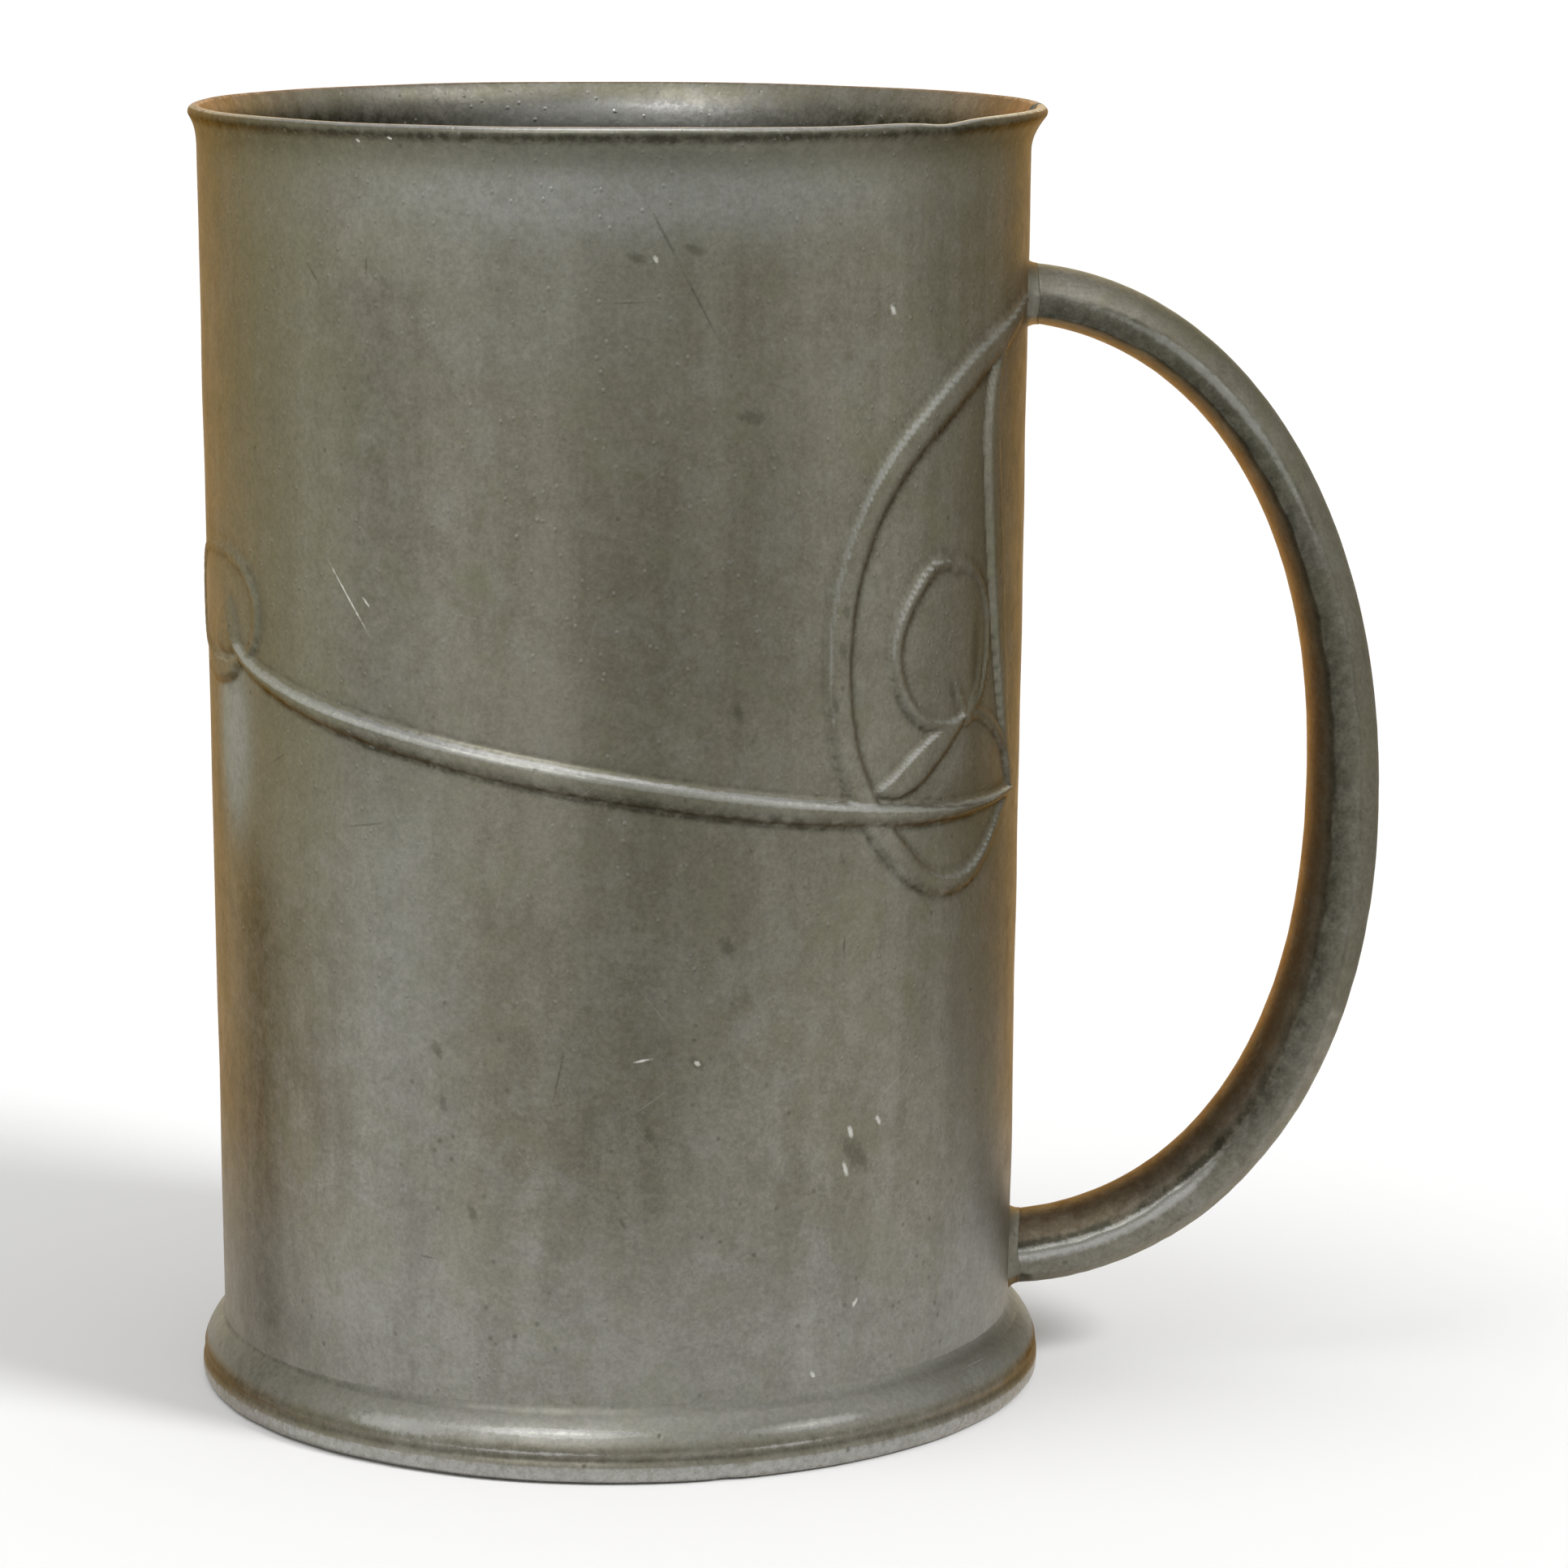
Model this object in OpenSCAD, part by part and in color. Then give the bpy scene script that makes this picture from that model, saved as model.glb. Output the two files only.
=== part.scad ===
// Pewter tankard: a tapered drum with a turned-out lip, a moulded foot ring, a let-in floor
// and a cast bar handle, soldered together.
// Z is up. The drum stands on Z = 0 about the Z axis, and the handle is on the +X side.

/* [Drum] */
// Height from the table to the top of the lip
height = 130; // [110:1:150]
// Outside radius of the drum at the table
drum_r_low = 40.5; // [38:0.1:42]
// Outside radius of the drum just under the lip
drum_r_high = 41.6; // [40:0.1:44]
// Thickness of the drum wall
wall = 1.3; // [1:0.1:2]
// Width of the soldered seam behind the handle
seam_w = 0.8; // [0.4:0.1:1.5]

/* [Lip] */
// How far the lip turns out past the drum
lip_out = 1.25; // [0.8:0.05:2.5]
// Radius of the hollow sweep under the lip
lip_sweep = 6; // [4:0.5:10]

/* [Foot] */
// Widest radius of the foot ring
foot_r = 43.3; // [42.8:0.1:45]
// Height of the foot ring's widest point
foot_belly = 1.5; // [1:0.1:2.5]
// Radius of the foot moulding's round
foot_round = 6.3; // [5.5:0.1:7]
// Chamfer of the foot's lower edge
foot_chamfer = 0.8; // [0.3:0.1:1.2]
// Depth of the fine groove round the foot
groove_depth = 0.2; // [0.1:0.05:0.4]
// Height of the fine groove round the foot
groove_z = 2.4; // [2:0.1:3.5]
// Thickness of the foot's ledge under the wall
ledge_t = 1.2; // [0.8:0.1:2]
// Inside radius of the foot's ledge
ledge_r = 37.5; // [35:0.1:38.5]
// Radius that sets how far the solder fillet above the foot reaches
foot_fillet = 2; // [1:0.1:3]

/* [Floor] */
// Height of the floor's underside above the table
floor_z = 3.5; // [2.5:0.1:6]
// Thickness of the floor
floor_t = 2; // [1.2:0.1:3]
// Radius of the solder fillet round the floor
floor_fillet = 1.5; // [0.8:0.1:2.5]

/* [Handle] */
// Reach of the handle's outer line from the drum's axis
outer_reach = 78.25; // [72:0.25:84]
// Top of the handle's outer line
outer_top = 114.3; // [112:0.1:117]
// Height where the outer line reaches furthest
outer_mid = 58.5; // [50:0.5:66]
// Bottom of the handle's outer line
outer_bottom = 8.1; // [7.8:0.1:10]
// Reach of the handle's inner line from the drum's axis
inner_reach = 70.7; // [66:0.1:71.5]
// Top of the handle's inner line
inner_top = 108.3; // [104:0.1:109]
// Height where the inner line reaches furthest
inner_mid = 62.5; // [54:0.5:68]
// Bottom of the handle's inner line
inner_bottom = 15.7; // [14:0.1:18]
// Width of the handle bar
bar_w = 9.5; // [7:0.1:12]
// Breadth of the solder collar round each root
collar = 1.1; // [0.6:0.1:2]
// Length of the solder collar along the bar
collar_l = 1.8; // [1:0.1:3]

/* [Hidden] */
$fn = 96;
fine_fn = 480;
PEWTER = "#7b7a6e";
PEWTER_DARK = "#6c6b60";
SOLDER = "#93928a";

// The lip's edge is a half round on the middle of the wall, at the end of the sweep.
lip_mid = lip_sweep + wall / 2;
lip_turn = acos((lip_mid - lip_out) / lip_mid);
lip_z = height - wall / 2 - lip_mid * sin(lip_turn);
lip_centre = [drum_r_high + lip_sweep, lip_z];

foot_centre = [foot_r - foot_round, foot_belly];
foot_span = foot_round + foot_fillet;
fillet_x = drum_r_low + foot_fillet;
fillet_z = foot_belly + sqrt(pow(foot_span, 2) - pow(fillet_x - foot_centre[0], 2));
// Where the fillet runs out on the foot's round
fillet_foot = foot_centre + (foot_round / foot_span) * [fillet_x - foot_centre[0], fillet_z - foot_belly];
groove_round = 0.8;
// The chamfer's slope ends this far outside the foot's round
chamfer_out = 0.1;
floor_top = floor_z + floor_t;
// How far the cut for the seam runs past the lip
seam_over = 1;

// Each outline of the handle is a full oval whose ends run into the drum.
outer_x = 39;
inner_x = 37;
outer_full_up = 2.1;
outer_full_down = 2.15;
inner_full_up = 2.2;
inner_full_down = 2.3;
stations = 60;
rib_steps = 8;
// Edge lines of the bar's flat sides, from -1 at the inner line to 1 at the outer line
edge_out_top = 0.1;
edge_out_low = 0.5;
edge_in_top = -0.6;
edge_in_low = -0.1;
crown_power = 2.2;
// The solder's thinnest skin, and the ribs that carry it over the first degrees of the bar
skin = 0.15;
collar_ribs = 12;
collar_span = 12;

function drum_r(z) = drum_r_low + (drum_r_high - drum_r_low) * z / lip_z;
function bore_r(z) = drum_r(z) - wall;
function full(v, n) = sign(v) * pow(abs(v), 2 / n);

// A point on an oval of half width a, with its own height and fullness above and below the middle
function oval(x, z, a, up, down, n_up, n_down, t) =
    let (n = t >= 0 ? n_up : n_down, b = t >= 0 ? up : down)
    [x + a * full(cos(t), n), z + b * full(sin(t), n)];

function outer_line(t) = oval(outer_x, outer_mid, outer_reach - outer_x,
    outer_top - outer_mid, outer_mid - outer_bottom, outer_full_up, outer_full_down, t);

function inner_line(t) = oval(inner_x, inner_mid, inner_reach - inner_x,
    inner_top - inner_mid, inner_mid - inner_bottom, inner_full_up, inner_full_down, t);

function mix(a, b, s) = a + (b - a) * s;

// The bar's section, as [across, depth]: a crowned outer face, flat sides and a crowned inner face
function crown(edge, side, a) = [cos(a), edge + (side - edge) * (1 - pow(abs(cos(a)), crown_power))];

function section(s) = concat(
    [for (i = [0:rib_steps]) crown(mix(edge_out_top, edge_out_low, s), 1, 180 * i / rib_steps)],
    [for (i = [0:rib_steps]) crown(mix(edge_in_top, edge_in_low, s), -1, 180 + 180 * i / rib_steps)]
);

// How much a point at x on the bar swells, for solder of breadth b where the bar meets the drum
function swell(x, b) = b == 0 ? 0 : skin + b * pow(max(0, min(1, 1 - (x - drum_r_low) / collar_l)), 2);

// A section's points in space, between the two outlines at angle t, swollen by solder of breadth b
function rib(t, b = 0) =
    let (o = outer_line(t), i = inner_line(t), m = (o + i) / 2, d = (o - i) / 2, s = (90 - t) / 180)
    [for (p = section(s))
        let (g = swell(m[0] + d[0] * p[1], b), k = p[1] * (1 + g / norm(d)))
        [m[0] + d[0] * k, (bar_w / 2 + g) * p[0], m[1] + d[1] * k]];

module ring(points) {
    rotate_extrude($fn = fine_fn) polygon(points);
}

// Everything inside the drum's outer face
module drum_core() {
    ring([[0, 0], [drum_r(0), 0], [drum_r(lip_z), lip_z], [0, lip_z]]);
}

module wall_outline() {
    polygon([
        [bore_r(ledge_t), ledge_t],
        [drum_r(ledge_t), ledge_t],
        [drum_r(lip_z), lip_z],
        [bore_r(lip_z), lip_z]
    ]);
    intersection() {
        translate(lip_centre) difference() {
            circle(r = lip_sweep + wall);
            circle(r = lip_sweep);
        }
        polygon([
            lip_centre,
            lip_centre - [2 * lip_mid, 0],
            lip_centre + 2 * lip_mid * [-cos(lip_turn), sin(lip_turn)]
        ]);
    }
    translate(lip_centre + lip_mid * [-cos(lip_turn), sin(lip_turn)]) circle(r = wall / 2);
}

module wall_body() {
    rotate_extrude() wall_outline();
}

module seam_gap() {
    translate([drum_r_low / 2, -seam_w / 2, 0]) cube([drum_r_low, seam_w, height + seam_over]);
}

module drum_wall() {
    color(PEWTER) difference() {
        wall_body();
        seam_gap();
    }
}

module drum_seam() {
    color(SOLDER) intersection() {
        wall_body();
        seam_gap();
    }
}

module foot_ring() {
    color(PEWTER_DARK) rotate_extrude() difference() {
        intersection() {
            translate(foot_centre) circle(r = foot_round);
            polygon([
                [ledge_r, 0],
                [foot_r - foot_chamfer, 0],
                [foot_r + chamfer_out, foot_chamfer],
                [foot_r + chamfer_out, foot_round + foot_belly],
                [ledge_r, foot_round + foot_belly]
            ]);
        }
        polygon([
            [0, ledge_t],
            [drum_r(ledge_t), ledge_t],
            [drum_r(height / 2), height / 2],
            [0, height / 2]
        ]);
        translate([foot_r + groove_round - groove_depth, groove_z]) circle(r = groove_round);
    }
}

module floor_disc() {
    color(PEWTER) ring([
        [0, floor_z],
        [bore_r(floor_z), floor_z],
        [bore_r(floor_top), floor_top],
        [0, floor_top]
    ]);
}

module floor_solder() {
    color(SOLDER) rotate_extrude() difference() {
        polygon([
            [bore_r(floor_top) - floor_fillet, floor_top],
            [bore_r(floor_top), floor_top],
            [bore_r(floor_top + floor_fillet), floor_top + floor_fillet],
            [bore_r(floor_top) - floor_fillet, floor_top + floor_fillet]
        ]);
        translate([bore_r(floor_top) - floor_fillet, floor_top + floor_fillet]) circle(r = floor_fillet);
    }
}

// The fillet is cut straight, from the drum to the foot's round.
module foot_solder() {
    color(SOLDER) rotate_extrude($fn = fine_fn) difference() {
        polygon([
            [drum_r(foot_belly), foot_belly],
            [drum_r(fillet_z), fillet_z],
            fillet_foot
        ]);
        translate(foot_centre) circle(r = foot_round);
    }
}

// A solid skinned over a row of ribs
module loft(ribs) {
    n = len(ribs[0]);
    last = len(ribs) - 1;
    sides = [for (k = [0:last - 1], i = [0:n - 1], half = [0, 1])
        let (a = k * n + i, b = k * n + (i + 1) % n)
        half == 0 ? [a, b + n, b] : [a, a + n, b + n]];
    ends = [[for (i = [0:n - 1]) i], [for (i = [n - 1:-1:0]) last * n + i]];
    polyhedron(points = [for (r = ribs) each r], faces = concat(sides, ends), convexity = 4);
}

// The bar runs from just inside the drum at the top round to just inside it at the bottom.
module handle_bar() {
    loft([for (k = [0:stations]) rib(90 - 180 * k / stations)]);
}

module handle() {
    color(PEWTER) difference() {
        handle_bar();
        drum_core();
    }
}

// A rim of solder round the bar where it meets the drum; first is the angle of its highest rib
module root_solder(first) {
    color(SOLDER) difference() {
        intersection() {
            loft([for (k = [0:collar_ribs]) rib(first - collar_span * k / collar_ribs, collar)]);
            translate([0, -bar_w, 0]) cube([drum_r_high + collar_l, 2 * bar_w, height]);
        }
        handle_bar();
        drum_core();
    }
}

module handle_upper_solder() {
    root_solder(90);
}

module handle_lower_solder() {
    root_solder(collar_span - 90);
}

drum_wall();
drum_seam();
foot_ring();
floor_disc();
floor_solder();
foot_solder();
handle();
handle_upper_solder();
handle_lower_solder();
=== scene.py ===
import math

import bmesh
import bpy
import numpy as np
from mathutils import Matrix, Vector


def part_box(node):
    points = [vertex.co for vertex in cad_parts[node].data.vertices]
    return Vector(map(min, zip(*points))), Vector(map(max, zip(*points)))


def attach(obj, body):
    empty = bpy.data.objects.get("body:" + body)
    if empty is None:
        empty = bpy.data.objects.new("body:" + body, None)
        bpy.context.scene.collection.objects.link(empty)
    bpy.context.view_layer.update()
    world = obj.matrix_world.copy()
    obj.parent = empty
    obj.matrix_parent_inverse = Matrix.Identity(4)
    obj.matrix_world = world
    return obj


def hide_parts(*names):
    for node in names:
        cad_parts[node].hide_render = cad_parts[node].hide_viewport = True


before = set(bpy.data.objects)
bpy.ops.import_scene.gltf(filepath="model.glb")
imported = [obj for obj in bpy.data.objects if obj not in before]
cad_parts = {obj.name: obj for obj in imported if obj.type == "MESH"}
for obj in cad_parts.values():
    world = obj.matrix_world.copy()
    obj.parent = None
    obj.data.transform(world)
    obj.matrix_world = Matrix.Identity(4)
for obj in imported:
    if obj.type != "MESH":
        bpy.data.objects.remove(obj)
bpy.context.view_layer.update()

# Lengths below are millimetres unless a name says otherwise; meshes are scaled to metres when made.
MM = 0.001
BODY = "root"


def cad(node):
    """Lowest and highest corner of a CAD node, in millimetres."""
    return [np.array(corner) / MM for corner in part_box(node)]


# Drum and lip, as the CAD has them
HEIGHT = cad("drum_wall")[1][2]
LEDGE_Z = cad("drum_wall")[0][2]
DRUM_R_LOW = 40.5
DRUM_R_HIGH = 41.6
WALL = 1.3
LIP_OUT = cad("drum_wall")[1][0] - DRUM_R_HIGH
LIP_SWEEP = 6.0
LIP_MID = LIP_SWEEP + WALL / 2
LIP_TURN = math.acos((LIP_MID - LIP_OUT) / LIP_MID)
LIP_Z = HEIGHT - WALL / 2 - LIP_MID * math.sin(LIP_TURN)
SEAM_W = cad("drum_seam")[1][1] - cad("drum_seam")[0][1]

# Foot
FOOT_R = cad("foot_ring")[1][0]
FOOT_BELLY = 1.5
FOOT_ROUND = 6.3
FOOT_X = FOOT_R - FOOT_ROUND
FILLET_R = 2.0

# Floor
FLOOR_LOW = cad("floor_disc")[0][2]
FLOOR_TOP = cad("floor_disc")[1][2]
FLOOR_FILLET = 1.5

# Handle
BAR_HALF = (cad("handle")[1][1] - cad("handle")[0][1]) / 2
REACH = cad("handle")[1][0]
BAR_TOP = cad("handle")[1][2]
BAR_BOTTOM = cad("handle")[0][2]

# Every piece stays this far inside the CAD model's box
SKIN = 0.02
# The lip and the foot sit a little towards the handle, off the drum's axis
RIM_LEAN = 0.42
FOOT_LEAN = 0.36


def drum_r(z):
    return DRUM_R_LOW + (DRUM_R_HIGH - DRUM_R_LOW) * z / LIP_Z


def bore_r(z):
    return drum_r(z) - WALL


# ---- shape helpers


def smooth(x):
    """0 below 0, 1 above 1, with a soft start and end between them."""
    x = np.clip(x, 0, 1)
    return x * x * (3 - 2 * x)


def bump(x, centre, width):
    """A bell of height 1 at centre."""
    return np.exp(-(((x - centre) / width) ** 2))


def stretch(*parts):
    """Numbers in even steps: each part is (start, end, count), and the last end is included."""
    runs = [np.linspace(a, b, n, endpoint=False) for a, b, n in parts]
    return np.concatenate(runs + [[parts[-1][1]]])


def waves(u, v, seed, count, longest, shortest):
    """A soft random field over u and v, about -1 to 1, made of seeded plane waves."""
    rng = np.random.default_rng(seed)
    total = 0
    for _ in range(count):
        length = longest * (shortest / longest) ** rng.random()
        turn, phase = rng.uniform(0, 2 * math.pi, 2)
        k = 2 * math.pi / length
        total = total + np.sin(k * (u * math.cos(turn) + v * math.sin(turn)) + phase)
    return total / math.sqrt(count)


def ripple(angle, seed, lowest, highest):
    """A soft random wobble that closes on itself round a full turn of angle, in radians."""
    rng = np.random.default_rng(seed)
    turns = np.arange(lowest, highest + 1)
    total = 0
    for k in turns:
        total = total + np.sin(k * angle + rng.uniform(0, 2 * math.pi))
    return total / math.sqrt(len(turns))


def spots(azimuth, z, places):
    """Soft spots added up: each place is (strength, azimuth, half width, height, half height)."""
    return sum(k * bump(azimuth, a, wide) * bump(z, h, tall) for k, a, wide, h, tall in places)


def round_angles(count):
    """A row of angles evenly round a full turn, in radians."""
    return np.arange(count)[None, :] * 2 * math.pi / count


def arc(centre, radius, turn):
    """Points of a round about its centre, at angles in radians."""
    return centre + radius * np.stack([np.cos(turn), np.sin(turn)], -1)


def spun(section, angle):
    """Radius and height of a section's points at every angle."""
    return (section[:, k][:, None] + 0 * angle for k in (0, 1))


def curve(points, steps=14):
    """A smooth line through a few points."""
    p = np.array(points, float)
    p = np.vstack([2 * p[0] - p[1], p, 2 * p[-1] - p[-2]])
    t = np.linspace(0, 1, steps, endpoint=False)[:, None]
    line = []
    for a, b, c, d in zip(p, p[1:], p[2:], p[3:]):
        bend = 2 * a - 5 * b + 4 * c - d
        twist = 3 * b - a - 3 * c + d
        line.append(((2 * b) + (c - a) * t + bend * t**2 + twist * t**3) / 2)
    return np.vstack(line + [p[-2]])


def loop_curve(points, steps=14):
    """A smooth closed line through a few points."""
    n = len(points)
    ring = [points[i % n] for i in range(-2, n + 3)]
    line = curve(ring, steps)
    return line[2 * steps : (n + 2) * steps + 1]


# ---- meshes


def piece(name, verts, faces, attributes=None, smooth_faces=True):
    """A mesh object from points in millimetres, with outward normals and named vertex attributes."""
    mesh = bpy.data.meshes.new(name)
    mesh.from_pydata((np.asarray(verts) * MM).tolist(), [], faces)
    for key, values in (attributes or {}).items():
        values = np.asarray(values, np.float32)
        kind, field = ("FLOAT", "value") if values.ndim == 1 else ("FLOAT_VECTOR", "vector")
        mesh.attributes.new(key, kind, "POINT").data.foreach_set(field, values.ravel())
    work = bmesh.new()
    work.from_mesh(mesh)
    bmesh.ops.recalc_face_normals(work, faces=work.faces)
    work.to_mesh(mesh)
    work.free()
    mesh.polygons.foreach_set("use_smooth", [smooth_faces] * len(mesh.polygons))
    obj = bpy.data.objects.new(name, mesh)
    bpy.context.scene.collection.objects.link(obj)
    return obj


def grid_faces(index, closed_rows, closed_columns):
    """Quads over a grid of vertex numbers, joined end to start where a direction is closed."""
    rows = np.vstack([index, index[:1]]) if closed_rows else index
    if closed_columns:
        rows = np.hstack([rows, rows[:, :1]])
    quads = np.stack([rows[:-1, :-1], rows[:-1, 1:], rows[1:, 1:], rows[1:, :-1]], -1)
    return quads.reshape(-1, 4).tolist()


def turned(name, radius, height, attributes=None, lean=0.0):
    """A closed ring: radius and height are arrays of profile point by column, columns evenly round.
    lean shifts it towards the handle."""
    count = radius.shape[1]
    angle = round_angles(count)
    verts = np.stack([radius * np.cos(angle) + lean, -radius * np.sin(angle), height], -1)
    index = np.arange(verts.shape[0] * count).reshape(-1, count)
    flat = {key: value.reshape(radius.size, -1).squeeze() for key, value in (attributes or {}).items()}
    return piece(name, verts.reshape(-1, 3), grid_faces(index, True, True), flat)


def step_faces(upper, lower):
    """Faces between two rows of vertex numbers, where one may hold every second column of the other."""
    if len(upper) == len(lower):
        return np.stack([upper[:-1], upper[1:], lower[1:], lower[:-1]], -1).tolist()
    if len(upper) < len(lower):
        upper, lower = lower, upper
    wide, fine = lower, upper
    faces = []
    for k in range(len(wide) - 1):
        a, b, c = (int(x) for x in fine[2 * k : 2 * k + 3])
        left, right = int(wide[k]), int(wide[k + 1])
        faces += [[a, b, left], [b, right, left], [b, c, right]]
    return faces


# ---- relief on the drum
# The relief is drawn on the unrolled drum. A place is (azimuth in degrees, height): azimuth 0 faces
# the front (-Y) and 90 the handle, and the back carries the same relief mirrored in the handle's plane.
RELIEF_R = 41.2


def unroll(points):
    """(azimuth, height) to (distance round the drum from the handle's plane, height)."""
    p = np.array(points, float)
    return np.stack([np.radians(90 - p[:, 0]) * RELIEF_R, p[:, 1]], -1)


def nearest(u, v, line):
    """Distance from each point to a line, and how far along the line that is, from 0 to 1."""
    ends = line[1:] - line[:-1]
    lengths = np.hypot(ends[:, 0], ends[:, 1])
    reached = np.concatenate([[0], np.cumsum(lengths)])
    best, where = np.full(u.shape, 1e9), np.zeros(u.shape)
    for start, end, length, before in zip(line[:-1], ends, lengths, reached):
        if length < 1e-9:
            continue
        t = np.clip(((u - start[0]) * end[0] + (v - start[1]) * end[1]) / length**2, 0, 1)
        far = np.hypot(u - start[0] - t * end[0], v - start[1] - t * end[1])
        closer = far < best
        best = np.where(closer, far, best)
        where = np.where(closer, (before + t * length) / reached[-1], where)
    return best, where


def inside(u, v, outline):
    """True where a point lies inside a closed line."""
    odd = np.zeros(u.shape, bool)
    for (x0, y0), (x1, y1) in zip(outline[:-1], outline[1:]):
        crosses = (y0 > v) != (y1 > v)
        at = x0 + (v - y0) * (x1 - x0) / (y1 - y0 if y1 != y0 else 1e-9)
        odd ^= crosses & (u < at)
    return odd


class Relief:
    """Heights over a grid of points on the unrolled drum, raised by ridges and pads."""

    def __init__(self, u, v):
        self.u, self.v = u, v
        self.height = np.zeros(u.shape)
        self.worn_and_lit = np.zeros(u.shape)

    def near(self, line, margin):
        low, high = line.min(0) - margin, line.max(0) + margin
        return (self.u > low[0]) & (self.u < high[0]) & (self.v > low[1]) & (self.v < high[1])

    def raise_to(self, where, height, worn_and_lit):
        self.height[where] = np.maximum(self.height[where], height)
        self.worn_and_lit[where] = np.maximum(self.worn_and_lit[where], worn_and_lit)

    def depth_in(self, points, margin):
        """Where a closed outline is near, and how deep inside it each point there lies."""
        outline = loop_curve(unroll(points))
        where = self.near(outline, margin)
        far, _ = nearest(self.u[where], self.v[where], outline)
        return where, np.where(inside(self.u[where], self.v[where], outline), far, -far)

    def ridge(self, points, halves, height, flat=0, worn_and_lit=0.6, over=0, closed=False, taper=0.5):
        """A raised line: halves are its half widths at even steps along it, and flat the share of the
        half width that is level before it rounds off. over lifts it above what it crosses, and taper is
        how quickly it loses height where it is narrow."""
        line = (loop_curve if closed else curve)(unroll(points))
        where = self.near(line, 4)
        far, along = nearest(self.u[where], self.v[where], line)
        half = np.interp(along, np.linspace(0, 1, len(halves)), halves)
        lift = height * np.minimum(1, half / np.mean(halves)) ** taper
        out = np.clip((far / half - flat) / (1 - flat), 0, 1)
        top = (1 - out**2) ** 0.6
        self.raise_to(where, (lift + over) * top, worn_and_lit * top)

    def pad(self, points, height, bevel, dome=0.0, worn_and_lit=0.3):
        """A raised patch with a sloping edge and a domed face."""
        where, depth = self.depth_in(points, 2)
        edge = smooth(0.5 + depth / bevel)
        face = height + dome * (1 - np.exp(-np.clip(depth, 0, None) / 2.5))
        self.raise_to(where, face * edge, worn_and_lit * edge * np.exp(-np.clip(depth, 0, None) / 0.5))

    def sink(self, points, depth, bevel):
        """A sunk patch with a sloping edge."""
        where, inner = self.depth_in(points, 2)
        self.height[where] -= depth * smooth(0.5 + inner / bevel)


STEM = [(-67.5, 81.4), (-65, 78.6), (-60.6, 76.7), (-54, 75.2), (-43, 73.3), (-22, 70.5), (0, 67.8),
    (20, 65.4), (40, 63.5), (55, 62.6), (72, 62.7)]
STEM_HALF = [0.4, 0.85, 1.15, 1.3, 1.4, 1.4, 1.35, 1.3, 1.15, 0.75, 0.5]
LOOP = [(78, 111.2), (69, 109), (58.5, 106.3), (49.5, 102.6), (41.5, 98.2), (35.7, 92.8), (32, 85.8),
    (31, 78), (32.4, 70.2), (36, 64.3), (41, 59.8), (46.3, 56.7), (52, 55.5), (57.5, 55.9),
    (62.5, 57.8), (67, 60.5), (71, 62.6)]
LOOP_HALF = [0.8, 1.5, 1.75, 1.7, 1.6, 1.5, 1.45, 1.4, 1.45, 1.4, 1.0, 0.75, 0.6]
BLADE = [(67.4, 108.3), (63.4, 104), (62.6, 99), (63.6, 92), (65, 84), (66.8, 76), (69, 69), (72, 63.5)]
POD = [(48.8, 87.3), (44.9, 85.4), (41.6, 82), (40.6, 78.6), (42.2, 75), (45.4, 72.5), (50, 71.4),
    (55.5, 71.8), (59.6, 73.4), (61.6, 76.8), (61.8, 80.6), (60.2, 84), (56.8, 86.2), (52.4, 86.9)]
POD_RIM = [0.7, 0.85, 0.85, 0.8, 0.8, 0.75, 0.65, 0.55, 0.5, 0.5, 0.5, 0.5, 0.5, 0.5, 0.7]
FOLDS = [[(55.8, 72), (53.6, 74.6), (52.8, 77.6)], [(56.4, 72), (58.8, 74.6), (60, 78.6)]]
LEAF = [(55, 71.7), (49, 70.9), (44, 69.1), (40.5, 67.4), (37.4, 66), (40, 65.1), (44.5, 65.7),
    (49, 67.8), (53, 70)]
TENDRIL = [(55.6, 71.6), (60, 71.6), (65, 69.8), (69.5, 67), (73, 64.4), (72, 62.8)]
SIDE_POD = [(-72, 87.2), (-66.4, 87), (-61.4, 85.8), (-58.2, 83.2), (-57.8, 80.4), (-60, 77.8),
    (-66, 76), (-74, 76), (-81, 77.6), (-84, 81.4), (-82, 85.2), (-77.5, 87)]
SIDE_BUD = [(-66.6, 82.8), (-64, 80.6), (-63.4, 78.4), (-66, 77.2), (-70.5, 77.2), (-73, 78.6),
    (-71, 81)]
SIDE_LEAF = [(-66.5, 76.3), (-71, 76.2), (-78.5, 75), (-74, 74), (-68, 74.3), (-64.5, 75.4)]
# The sunk ground inside the loop, and the soft swelling under the leaf
HOLLOW = [(66, 103), (50, 99), (37, 88), (35, 76), (39, 66), (60, 66), (70, 74)]
SWELL = [(55, 69.5), (50, 66), (49, 64), (60, 63.6), (69, 64), (66, 67.5), (61, 69.6)]


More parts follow.
